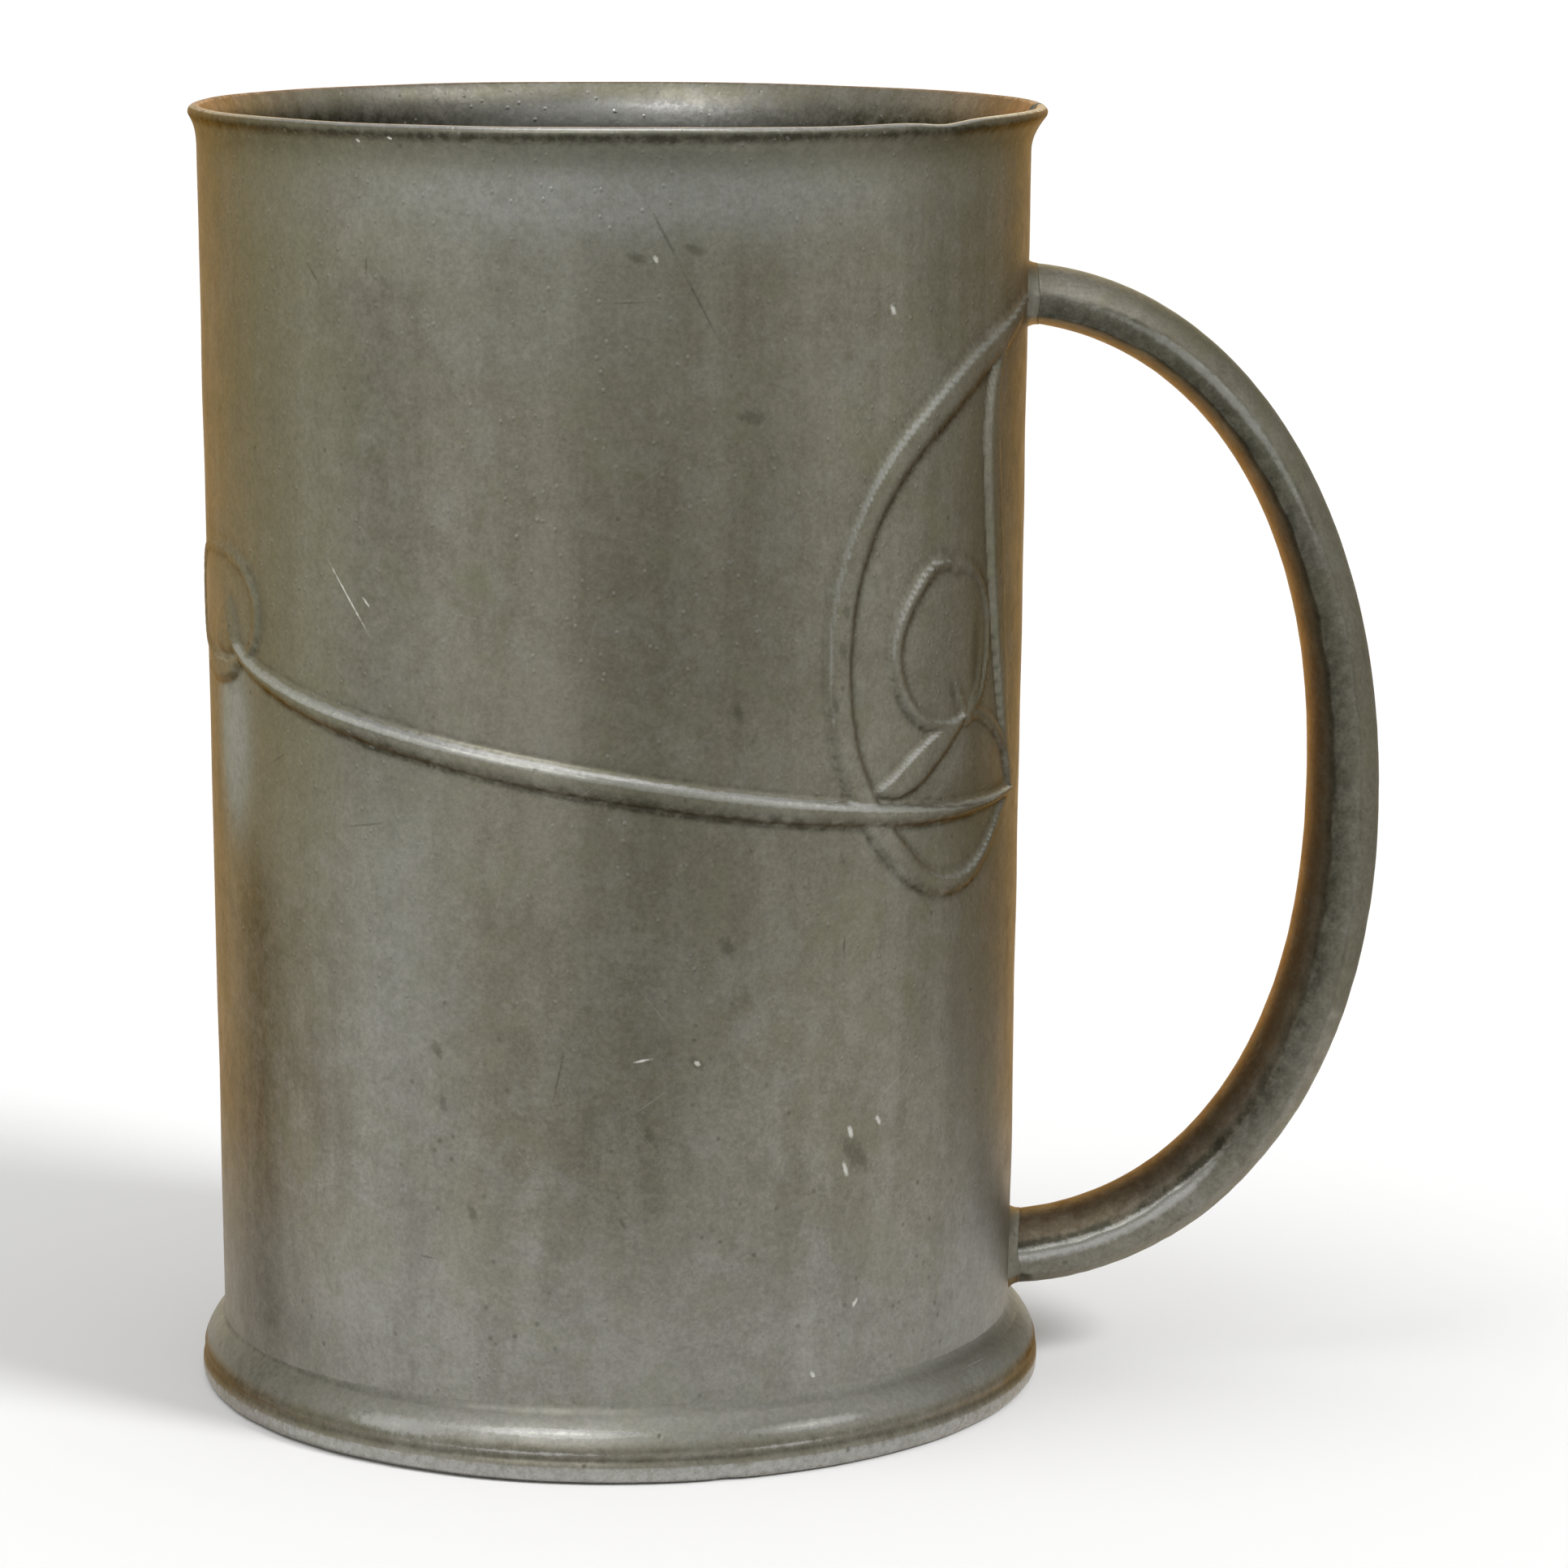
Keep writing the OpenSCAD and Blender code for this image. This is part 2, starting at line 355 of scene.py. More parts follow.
def draw_relief(u, v):
    """The low plant relief: a stem round the front, a tall loop with a pod and a leaf by the handle,
    and a smaller pod opposite the handle."""
    relief = Relief(u, v)
    relief.sink(HOLLOW, 0.12, 5)
    relief.pad(POD, 0.1, 0.8, 0.14, 0)
    for fold in FOLDS:
        relief.ridge(fold, [0.7, 0.7, 0.5, 0.3], 0.28, 0, 0.2)
    relief.ridge(POD, POD_RIM, 0.42, 0.1, 0.8, closed=True, taper=1)
    relief.pad(LEAF, 0.45, 0.5, 0.15, 0.9)
    relief.pad(SWELL, 0.02, 1.5, 0.2, 0)
    relief.ridge(TENDRIL, [0.35, 0.7, 0.75, 0.7, 0.5], 0.34, 0, 0.2)
    relief.ridge(BLADE, [0.6, 1.5, 1.8, 1.8, 1.5, 1.1, 0.7], 0.5, 0.5, 0.25)
    relief.ridge(LOOP, LOOP_HALF, 0.46, 0.4, 0.9)
    relief.ridge([(54.8, 71.9), (56.4, 71.3)], [0.5, 0.5], 0.55, 0, 0.6)
    relief.pad(SIDE_POD, 0.1, 1.2, 0.05, 0)
    relief.ridge(SIDE_POD, [0.6], 0.32, 0, 0.5, closed=True)
    relief.pad(SIDE_BUD, 0.35, 0.8, 0.15, 0.4)
    relief.pad(SIDE_LEAF, 0.35, 0.6, 0.1, 0.5)
    relief.ridge(STEM, STEM_HALF, 0.72, 0.1, 1, 0.1)
    return relief.height, relief.worn_and_lit


# ---- drum


def lip_edge():
    """The lip's outer sweep, half-round edge and inner sweep, as radius and height."""
    centre = np.array([DRUM_R_HIGH + LIP_SWEEP, LIP_Z])
    sweep = np.linspace(0, LIP_TURN, 10)[1:]
    outer = centre + LIP_SWEEP * np.stack([-np.cos(sweep), np.sin(sweep)], -1)
    inner = centre + (LIP_SWEEP + WALL) * np.stack([-np.cos(sweep), np.sin(sweep)], -1)
    end = centre + LIP_MID * np.array([-math.cos(LIP_TURN), math.sin(LIP_TURN)])
    out = np.array([math.cos(LIP_TURN), -math.sin(LIP_TURN)])
    up = np.array([math.sin(LIP_TURN), math.cos(LIP_TURN)])
    turn = np.linspace(0, math.pi, 14)[1:-1, None]
    edge = end + WALL / 2 * (np.cos(turn) * out + np.sin(turn) * up)
    return np.vstack([outer, edge, inner[::-1]])


def drum_rows():
    """The drum's section as radius and height, from the foot's ledge up the outside, over the lip and
    down the inside, with how many columns each row skips."""
    low, relief_low, stem_low, stem_high, relief_high = LEDGE_Z + SKIN, 53.5, 61, 79.5, 112
    outside = stretch((low, relief_low, 34), (relief_low, stem_low, 19), (stem_low, stem_high, 66),
                      (stem_high, relief_high, 65), (relief_high, LIP_Z, 12))
    rows = [(drum_r(z), z, 1 if relief_low - 0.1 < z < relief_high + 0.1 else 2) for z in outside]
    rows += [(r, z, 2) for r, z in lip_edge()]
    rows += [(bore_r(z), z, 4) for z in stretch((LIP_Z, low, 50))]
    return np.array(rows), len(outside)


def drum_angles():
    """Angles round the drum from the handle, in degrees: fine over the relief, and clear of the seam."""
    gap = math.degrees(SEAM_W / 2 / DRUM_R_HIGH)
    half = stretch((gap, 9, 8), (9, 63, 108), (63, 146, 60), (146, 180, 44))
    return np.concatenate([half, 360 - half[-2::-1]])


# Shallow knocks in the drum: azimuth, height, size and depth
KNOCKS = [(2.8, 117.9, 0.7, 0.12), (10.4, 118.6, 0.9, 0.1), (39, 112.5, 0.8, 0.15),
          (20, 103, 2.5, 0.06), (39, 33, 0.9, 0.12), (34, 32, 0.8, 0.1), (33, 29, 0.9, 0.12),
          (28, 9, 0.8, 0.1)]


def dents(azimuth, z):
    """How far the knocks sink the drum's surface."""
    sunk = 0
    for a, height, size, depth in KNOCKS:
        across = np.radians(azimuth - a) * RELIEF_R
        sunk = sunk + depth * np.exp(-((across**2 + (z - height) ** 2) / size**2))
    return sunk


def soften(field, times):
    """A field blurred over its grid."""
    for _ in range(times):
        around = sum(np.roll(field, step, axis) for step in (1, -1) for axis in (0, 1))
        field = (around + 4 * field) / 8
    return field


def relief_wear_and_shading(height, worn_and_lit, u, v):
    """Rubbing on the relief's crests, brightened into a painted highlight where they look up and left
    towards the light, and painted shade in its corners and on its faces turned away from the light and
    down.
    """
    soft = soften(height, 1)
    slope = 0.85 * np.gradient(soft, v, axis=0) + 0.5 * np.gradient(soft, u, axis=1)
    lit = np.tanh(-slope / 0.3)
    down = np.tanh(np.gradient(soft, v, axis=0) / 0.3)
    crest = np.clip(0.6 + height / 0.9, 0, 1)
    # Painted highlight where the relief faces up and left towards the light, on top of rubbing on its
    # crests
    worn_and_lit = 1.1 * worn_and_lit * np.clip(1.5 * lit - 0.3, 0.02, 1.2) * crest + 0.3 * np.clip(lit - 0.3, 0, 1)
    # Painted shade in the corners, on faces turned away from the light and on faces turned down
    corner = np.clip((soften(height, 8) - height) / 0.08, 0, 1)
    relief_shade = 0.4 * corner * (lit < 0.3) + 0.4 * np.clip(-lit, 0, 1) + 0.45 * np.clip(down, 0, 1)
    return np.clip(worn_and_lit, 0, 1), np.clip(relief_shade, 0, 1)


# Spots on the drum's outside, as spots() takes them. The last dark spot, low on the left by the foot, is
# painted shade.
DARK_SPOTS = [(0.22, 5, 10, 44, 26), (0.2, 5, 8, 82, 32), (0.22, 21, 7, 90, 26), (0.12, -4, 6, 42, 18),
              (0.1, -27, 5, 52, 18), (0.2, -50, 14, 9, 5)]
PALE_SPOTS = [(1, 2, 32, 123.7, 3.9), (0.3, -10, 15, 114, 8), (0.4, -32, 9, 48, 26), (1, -66, 5, 69, 8)]


def drum_tone_and_light(azimuth, z, on_inside):
    """Dark, olive and pale places of the drum: painted shade under the lip, dark patches down the middle
    and on the left, an olive cast on the left and towards the top, a pale belt below the lip's shade and a
    paler grey lower end, which is partly a painted reflection of the pale floor. Inside it is painted
    darker, most of all near the top, with a painted highlight on the back wall opposite the camera."""
    # The band at 127.8 mm is painted shade under the lip's edge
    dark = spots(azimuth, z, DARK_SPOTS) + 0.3 * bump(z, 127.8, 1.8)
    dark = dark + 0.05 * bump(azimuth, 48, 9) * smooth(z / 40)
    dark = dark + 0.46 * bump(azimuth, -60, 7) * smooth((64 - z) / 14) * smooth((z - 4) / 8)
    dark = dark + 0.24 * bump(azimuth, -33, 7) * smooth((z - 58) / 14) * smooth((119 - z) / 5)
    # Olive on the left and towards the top; towards the top it stands partly for a painted reflection of
    # the darker room
    olive = 0.5 * bump(azimuth, -56, 17) * smooth((z - 40) / 30) + 0.5 * bump(z, 127, 2.5)
    olive = olive + 0.2 * smooth((z - 30) / 30)
    # Paler towards the foot: partly a painted reflection of the pale floor
    pale = spots(azimuth, z, PALE_SPOTS) + 0.34 * smooth((34 - z) / 24)
    pale = pale + 0.25 * bump(azimuth, 62, 12) * smooth((60 - z) / 30)
    # A painted highlight on the inside of the back wall, opposite the camera
    behind = bump(np.abs(azimuth), 180, 26) * smooth((z - 120) / 6) * smooth((129 - z) / 2)
    # The inside is painted darker, most of all near the top
    inner_dark = 0.85 * smooth((129.4 - z) / 3) * (0.35 + 0.65 * smooth((z - 106) / 12))
    dark = np.where(on_inside, inner_dark * (1 - 0.9 * behind), dark)
    fields = (dark, np.where(on_inside, 0, olive), np.where(on_inside, behind, pale))
    return [np.clip(field, 0, 1) for field in fields]


def drop_unused(faces, lines, index):
    """Which points the rows or the two cut edges use, and the faces with those numbered again."""
    used = np.zeros(index.size, bool)
    used[np.concatenate(lines)] = True
    used[index[:, 0]] = used[index[:, -1]] = True
    number = np.cumsum(used) - 1
    return used, [[int(number[i]) for i in face] for face in faces]


def make_drum():
    rows, outside = drum_rows()
    angles = drum_angles()
    half = len(angles) // 2 + 1
    a = np.radians(angles)[None, :]
    radius, z, skip = (rows[:, k][:, None] for k in range(3))

    near_side = np.radians(angles[:half])[None, :] * RELIEF_R + 0 * z[:outside]
    height, worn_and_lit = draw_relief(near_side, z[:outside] + 0 * near_side)
    # The relief's painted highlight over rubbing, and its painted shade
    worn_and_lit, relief_shade = relief_wear_and_shading(height, worn_and_lit, near_side[0], z[:outside, 0])
    lift, wear_and_highlight, relief_shade_grid = (np.zeros((len(rows), len(angles))) for _ in range(3))
    for field, drawn in ((lift, height), (wear_and_highlight, worn_and_lit), (relief_shade_grid, relief_shade)):
        field[:outside] = np.hstack([drawn, drawn[:, -2::-1]])

    # Slow unevenness of the hand-finished wall, none at the foot and the lip
    free = smooth((z - 8) / 12) * smooth((LIP_Z - z) / 8)
    lift = lift + 0.035 * free * waves(a * RELIEF_R, z, 3, 16, 60, 12)
    lift[:outside] -= dents(90 - angles[None, :], z[:outside])

    # A painted highlight along the lip's top edge, strongest towards the front
    front_gleam = 0.3 + 0.7 * bump((270 - angles[None, :]) % 360 - 180, 0, 62)
    wear_and_highlight = np.maximum(wear_and_highlight, 1.35 * front_gleam * smooth((z - HEIGHT + 0.34) / 0.12))
    # The lip sags and creases a little; its edge never passes the CAD's
    on_lip = smooth((z - LIP_Z) / (HEIGHT - LIP_Z)) * np.ones_like(a)
    sag = 0.03 * (1 + ripple(a, 5, 3, 14)) + 0.35 * bump(np.degrees(a), 43, 5)
    sag = sag + 0.15 * bump(np.degrees(a), 60, 9)
    radius = radius + lift - on_lip * (SKIN + 0.05 * np.abs(ripple(a, 8, 2, 11)))
    z = z - on_lip * (SKIN + np.clip(sag, 0, None))

    on_inside = (np.arange(len(rows))[:, None] > outside + 16) & (a < 10)
    azimuth = (270 - angles[None, :]) % 360 - 180
    dark, olive, pale = drum_tone_and_light(azimuth + 0 * z, z, on_inside)
    # The back wall's painted highlight is made brighter and smoother as well
    wear_and_highlight = np.maximum(wear_and_highlight, 0.6 * pale * on_inside)
    # Painted shade on the lip's front face, just under its top edge
    lip_shade = 0.75 * bump(z, HEIGHT - 1.05, 0.5) * ~on_inside
    dark = np.clip(dark + 0.75 * relief_shade_grid + lip_shade, 0, 1)
    pale = pale * (1 - 0.8 * np.clip(relief_shade_grid + (lift > 0.15), 0, 1))

    verts = np.stack([radius * np.cos(a) + RIM_LEAN * on_lip, -radius * np.sin(a), z + 0 * a], -1)
    wrap = np.stack([a * RELIEF_R + 0 * z, z + 0 * a, 0 * a * z], -1)
    index = np.arange(len(rows) * len(angles)).reshape(len(rows), -1)
    lines = [index[k, :: int(skip[k, 0])] for k in range(len(rows))]
    faces = []
    for upper, lower in zip(lines, lines[1:] + lines[:1]):
        faces += step_faces(upper, lower)
    faces += [index[:, 0].tolist(), index[::-1, -1].tolist()]
    used, faces = drop_unused(faces, lines, index)
    patina_and_light = np.stack([dark, olive, pale], -1)
    kept = {"worn_and_lit": wear_and_highlight.reshape(-1)[used], "wrap": wrap.reshape(-1, 3)[used],
            "patina_and_light": patina_and_light.reshape(-1, 3)[used]}
    return piece("drum", verts.reshape(-1, 3)[used], faces, kept)


def make_seam():
    """The soldered seam of the drum, behind the handle: a narrow strip that follows the drum's section."""
    rows, outside = drum_rows()
    rows = rows[::2]
    across = np.linspace(-1, 1, 7)
    proud = 0.05 * (1 - across**2) + 0.02 * waves(across * 2, rows[:, 1][:, None], 21, 8, 9, 2)
    side = np.where(np.arange(len(rows)) * 2 < outside, 1, -1)[:, None]
    on_lip = smooth((rows[:, 1] - LIP_Z) / (HEIGHT - LIP_Z))[:, None]
    radius = rows[:, 0][:, None] + side * proud * (1 - on_lip) - on_lip * 3 * SKIN
    z = rows[:, 1][:, None] - on_lip * 4 * SKIN
    verts = np.stack([radius, across * SEAM_W / 2 + 0 * radius, z + 0 * radius], -1)
    index = np.arange(verts.shape[0] * 7).reshape(-1, 7)
    faces = grid_faces(index, True, False) + [index[:, 0].tolist(), index[::-1, -1].tolist()]
    return piece("seam_strip", verts.reshape(-1, 3), faces)


# ---- foot and floor


# The foot's section below its round, from the groove over the worn band to the ledge, in the order
# radius, height
FOOT_BAND = [(43.02, 2.85), (42.96, 2.6), (42.98, 2.4), (43.08, 2.2), (43.19, 2), (43.25, 1.7),
             (43.27, 1.35), (43.26, 1), (43.2, 0.7), (43.06, 0.42), (42.84, 0.2), (42.55, 0.06),
             (42.2, 0.02), (41, 0.02), (39.5, 0.02), (38.2, 0.02), (37.7, 0.06), (37.54, 0.25),
             (37.52, 0.6), (37.52, 0.95), (37.6, 1.12), (38, 1.18), (40, 1.18)]
# Rubbed places on the foot, and painted highlights on its shoulder and along its fine arris, as spots()
# takes them
FOOT_RUBS_AND_HIGHLIGHTS = [(0.8, -13, 14, 3.05, 0.25), (0.8, 22, 9, 3.05, 0.25), (0.95, -31, 8, 4.3, 0.9),
              (0.6, 57, 5, 4.6, 1.6), (1.25, -8, 12, 4.9, 0.4), (1.2, 25, 9, 4.6, 0.45)]


def foot_dents(radius, z, angle):
    """How far the foot is knocked and worn back from its true section."""
    azimuth = 90 - np.degrees(angle)
    below = smooth((3 - z) / 1.2) * (radius > 41)
    dent = 0.22 * bump(azimuth, 13.5, 1.3) * smooth((1.6 - z) / 1.2)
    dent = dent + 0.12 * bump(azimuth, -30, 9) * below + 0.12 * bump(azimuth, 58, 5) * bump(z, 4.3, 1.2)
    dent = dent + 0.03 * (1 + ripple(angle, 31, 5, 40)) * below
    edge = 0.05 * (1 + ripple(angle, 33, 9, 60)) * bump(z, 2.9, 0.3)
    return dent + edge * (radius > 42)


def foot_tone_and_shade(radius, z, azimuth):
    """Dark, olive and pale places of the foot: painted shade in the groove and in a line below the
    shoulder, darker on the left and by the handle, paler on top and on the bottom band.
    """
    # The dark lines at 2.45 mm, in the groove, and at 3.4 mm, below the shoulder, are painted shade
    dark = 0.55 * bump(z, 2.45, 0.35) * (radius > 42) + 0.35 * bump(azimuth, -60, 15) * (z > 2.8)
    dark = dark + 0.45 * bump(azimuth, 78, 8) * (z > 2.8) + 0.13 * smooth((z - 3.4) / 1.2)
    dark = dark + 0.3 * bump(z, 3.4, 0.4) * (radius > 42)
    pale = 0.5 * smooth((z - 3.4) / 1.2) + 0.3 * smooth((2 - z) / 0.5)
    return np.clip(np.stack([dark, 0 * z, pale], -1), 0, 1)


def make_foot():
    """The moulded ring the drum stands in: a round, a fine groove, a rubbed band and a flat underside."""
    angle = round_angles(360)
    azimuth = 90 - np.degrees(angle)
    upper = arc((FOOT_X, FOOT_BELLY), FOOT_ROUND, np.radians(stretch((62, 14.5, 26))))
    radius, z = spun(np.vstack([upper, FOOT_BAND]), angle)
    radius = radius - foot_dents(radius, z, angle)
    # Rubbed places and painted highlights from the spots, and a rubbed bottom band
    worn_and_lit = spots(azimuth, z, FOOT_RUBS_AND_HIGHLIGHTS) + 0.65 * smooth((2.1 - z) / 0.5) * (radius > 41)
    return turned("foot", radius, z, {"worn_and_lit": worn_and_lit, "patina_and_light": foot_tone_and_shade(radius, z, azimuth)}, FOOT_LEAN)


def make_foot_fillet():
    """The hollow fillet of solder between the drum and the foot. Its ends run on under both surfaces."""
    angle = round_angles(300)
    span = FOOT_ROUND + FILLET_R
    centre = np.array([DRUM_R_LOW + FILLET_R, 0.0])
    centre[1] = FOOT_BELLY + math.sqrt(span**2 - (centre[0] - FOOT_X) ** 2)
    low = math.atan2(FOOT_BELLY - centre[1], FOOT_X - centre[0])
    face = arc(centre, FILLET_R, np.linspace(-math.pi, low, 9))
    wall_end = [(drum_r(7) - 0.5, centre[1] + 0.9), (drum_r(7) - 0.01, centre[1] + 0.8)]
    under = math.pi + low - np.radians(6)
    foot_end = FOOT_ROUND * np.array([math.cos(under), math.sin(under)]) + (FOOT_X, FOOT_BELLY)
    under_foot = [foot_end - (0, 0.02), foot_end - (0.4, 0.4), (drum_r(6) - 0.5, 5.6)]
    section = np.vstack([wall_end, face, under_foot])
    radius, z = spun(section, angle)
    step = np.arange(len(section))[:, None]
    swell = 0.012 * (1 + ripple(angle, 41, 6, 50)) * bump(step, 6, 2)
    # The hollow is painted darker, more on the left: painted shade
    hollow = bump(step, 8, 2.5) + 0 * z
    left = bump(90 - np.degrees(angle), -60, 40)
    patina_and_light = np.stack([0.13 + (0.15 + 0.3 * left) * hollow, 0 * z, 0.5 + 0 * z], -1)
    lean = FOOT_LEAN * smooth((centre[1] - z) / 1.5)
    radius = radius + swell + lean * np.cos(angle)
    return turned("foot_fillet", radius, z, {"worn_and_lit": 0 * z, "patina_and_light": patina_and_light})


def make_floor():
    """The let-in floor: a slightly dished disc, whose underside shows inside the foot."""
    angle = round_angles(192)
    rim = bore_r(FLOOR_TOP) - SKIN
    out = np.concatenate([np.linspace(0.4, rim - 0.3, 46), [rim - 0.12, rim]])[:, None]
    dish = 0.25 * smooth(1 - out / rim)
    dish = dish + 0.03 * waves(out * np.cos(angle), out * np.sin(angle), 51, 10, 40, 9)
    top = FLOOR_TOP - SKIN - np.abs(dish)
    bottom = FLOOR_LOW + SKIN + 0.1 * smooth(1 - out / rim) + 0.02 * np.abs(ripple(angle, 52, 3, 9))
    radius = np.vstack([out, out[::-1]]) + 0 * angle
    return turned("floor", radius, np.vstack([top + 0 * angle, (bottom + 0 * angle)[::-1]]))


def make_floor_fillet():
    """The hollow fillet of solder between the floor and the wall."""
    angle = round_angles(240)
    centre = np.array([bore_r(FLOOR_TOP) - FLOOR_FILLET, FLOOR_TOP + FLOOR_FILLET])
    face = arc(centre, FLOOR_FILLET, np.linspace(-math.pi / 2, 0, 8))
    back = np.array([(bore_r(6) + 0.3, FLOOR_TOP + 1.2), (bore_r(6) + 0.3, FLOOR_TOP - 0.3),
                     (bore_r(6) - 1.2, FLOOR_TOP - 0.4)])
    section = np.vstack([face, back])
    radius, z = spun(section, angle)
    swell = (0.06 + 0.05 * ripple(angle, 61, 4, 44)) * bump(np.arange(len(section))[:, None], 3.5, 3)
    return turned("floor_fillet", radius - swell, z + swell)


# ---- handle
# Each outline of the bar is an oval of its own fullness, whose ends run into the drum.
OUTER = dict(x=39.0, reach=REACH, mid=58.5, top=BAR_TOP, bottom=BAR_BOTTOM, full_up=2.1, full_down=2.15)
INNER = dict(x=37.0, reach=70.7, mid=62.5, top=108.3, bottom=15.7, full_up=2.2, full_down=2.3)
STATIONS = 440
# How far round its outline the bar runs, in degrees, and the x where its two ends are cut off
BAR_TURN = 89.5
UPPER_CUT = 40.75
LOWER_CUT = 39.95


def outline(t, o):
    """Points of an outline at angles t, in radians, from the top round to the bottom."""
    full = np.where(t >= 0, o["full_up"], o["full_down"])
    tall = np.where(t >= 0, o["top"] - o["mid"], o["mid"] - o["bottom"])
    x = o["x"] + (o["reach"] - o["x"]) * np.abs(np.cos(t)) ** (2 / full)
    return np.stack([x, o["mid"] + tall * np.sign(t) * np.abs(np.sin(t)) ** (2 / full)], -1)


def crown(edge, side, a):
    """Half of the bar's section, from one flat side to the other over a crowned face."""
    return np.stack([np.cos(a) + 0 * edge, edge + (side - edge) * (1 - np.abs(np.cos(a)) ** 2.2)], -1)


def bar_sections(t):
    """The bar's section at each angle t, as (across, depth) from -1 to 1, with rubbed arrises."""
    s = ((math.pi / 2 - t) / math.pi)[:, None]
    along = t[:, None] * 60
    edge_out = 0.1 + 0.4 * s + 0.05 * waves(along, 0 * along, 71, 14, 30, 2.5)
    edge_in = -0.6 + 0.5 * s + 0.03 * waves(along, 0 * along, 72, 10, 30, 5)
    a = np.linspace(0, math.pi, 27)[None, :]
    outer, inner = crown(edge_out, 1, a), crown(edge_in, -1, a + math.pi)
    sides = []
    for first, last in ((outer[:, -1], inner[:, 0]), (inner[:, -1], outer[:, 0])):
        w = np.linspace(0, 1, 9)[1:-1][None, :, None]
        sides.append(first[:, None] * (1 - w) + last[:, None] * w)
    section = np.concatenate([outer, sides[0], inner, sides[1]], 1)
    for _ in range(3):
        section = (np.roll(section, 1, 1) + 2 * section + np.roll(section, -1, 1)) / 4
    return section


def bar_points(t, swell=0.0):
    """The bar's surface at angles t, as station by section point, swollen by swell."""
    o, i = outline(t, OUTER), outline(t, INNER)
    middle, depth = (o + i) / 2, (o - i) / 2
    section = bar_sections(t)
    p0, p1 = section[..., 0], section[..., 1] * (1 + swell / np.hypot(depth[:, 0], depth[:, 1])[:, None])
    x = middle[:, :1] + depth[:, :1] * p1
    z = middle[:, 1:] + depth[:, 1:] * p1
    return np.stack([x, -(BAR_HALF + swell - SKIN) * p0, z], -1)


def handle_wear_and_light(section, s):
    """Rubbed arrises that carry a painted highlight, brown and black inside the bar's curve, and black on
    its flat sides: the brown is a painted reflection and the black is painted shade.
    """
    flat, depth = np.abs(section[..., 0]), section[..., 1]
    outer_arris, inner_arris = 0.1 + 0.4 * s, -0.6 + 0.5 * s
    at_edge = smooth((flat - 0.8) / 0.15)
    upper_arm, lower_arm = bump(s, 0.2, 0.13), smooth((s - 0.72) / 0.12)
    # The arris bands are painted highlights over rubbing
    worn_and_lit = at_edge * (0.25 + 0.6 * upper_arm) * bump(depth, outer_arris - 0.12, 0.1 + 0.1 * upper_arm)
    inner_band = bump(depth, inner_arris + 0.08 * lower_arm, 0.09 + 0.15 * lower_arm)
    worn_and_lit = worn_and_lit + at_edge * (0.1 + 0.8 * lower_arm) * inner_band
    within = smooth((inner_arris - depth) / 0.08)
    beyond = smooth((depth - outer_arris - 0.02) / 0.12)
    across = np.clip((depth - inner_arris) / (outer_arris - inner_arris), 0, 1)
    side = (1 - within) * (1 - beyond) * (1 - 0.7 * lower_arm)
    root = smooth((s - 0.66) / 0.16)
    # Brown inside the curve is a painted reflection of warm surroundings; the black there, by the lower
    # root and on the flat sides is painted shade
    brown = within * (0.5 + 0.45 * smooth((0.95 - flat) / 0.4)) * (1 - 0.25 * root) + 0.05 * beyond
    black = within * (0.48 * root + 0.6 * smooth((flat - 0.8) / 0.12))
    black = black + side * (0.75 - 0.35 * smooth(across))
    return np.clip(worn_and_lit, 0, 1), np.clip(np.stack([black, brown, 0 * flat], -1), 0, 1)


def make_handle():
    t = np.radians(np.linspace(BAR_TURN, -BAR_TURN, STATIONS))
    verts = bar_points(t)
    n = verts.shape[1]
    # Small hollows from use, always inwards from the CAD's surface
    centre = verts.mean(1, keepdims=True)
    inward = (verts - centre) / np.linalg.norm(verts - centre, axis=2, keepdims=True)
    around = np.linspace(0, 2 * math.pi, n, endpoint=False)[None, :]
    rough = np.abs(waves(t[:, None] * 60, around * 3, 73, 22, 16, 2.5))
    verts = verts - inward * (0.015 + 0.014 * rough)[..., None]
    worn_and_lit, patina_and_light = handle_wear_and_light(bar_sections(t), ((math.pi / 2 - t) / math.pi)[:, None])
    index = np.arange(verts.shape[0] * n).reshape(-1, n)
    faces = grid_faces(index, False, True) + [index[0].tolist(), index[-1][::-1].tolist()]
    kept = {"worn_and_lit": worn_and_lit.reshape(-1), "patina_and_light": patina_and_light.reshape(-1, 3)}
    obj = piece("handle_bar", verts.reshape(-1, 3), faces, kept)
    trim_bar(obj.data)
    return obj


def trim_bar(mesh):
    """Cuts the bar's ends off inside the drum's wall and closes them."""
    work = bmesh.new()
    work.from_mesh(mesh)
    middle = (BAR_TOP + BAR_BOTTOM) / 2 * MM
    for upper, cut in ((True, UPPER_CUT), (False, LOWER_CUT)):
        faces = [f for f in work.faces if (f.calc_center_median().z > middle) == upper]
        # Kept in order, so that every run makes the same mesh
        points = list(dict.fromkeys(v for f in faces for v in f.verts))
        shape = faces + points + list(dict.fromkeys(e for f in faces for e in f.edges))
        bmesh.ops.bisect_plane(work, geom=shape, dist=1e-7, plane_co=(cut * MM, 0, 0), plane_no=(1, 0, 0),
                               clear_inner=True)
    bmesh.ops.holes_fill(work, edges=[e for e in work.edges if e.is_boundary])
    bmesh.ops.recalc_face_normals(work, faces=work.faces)
    work.to_mesh(mesh)
    work.free()


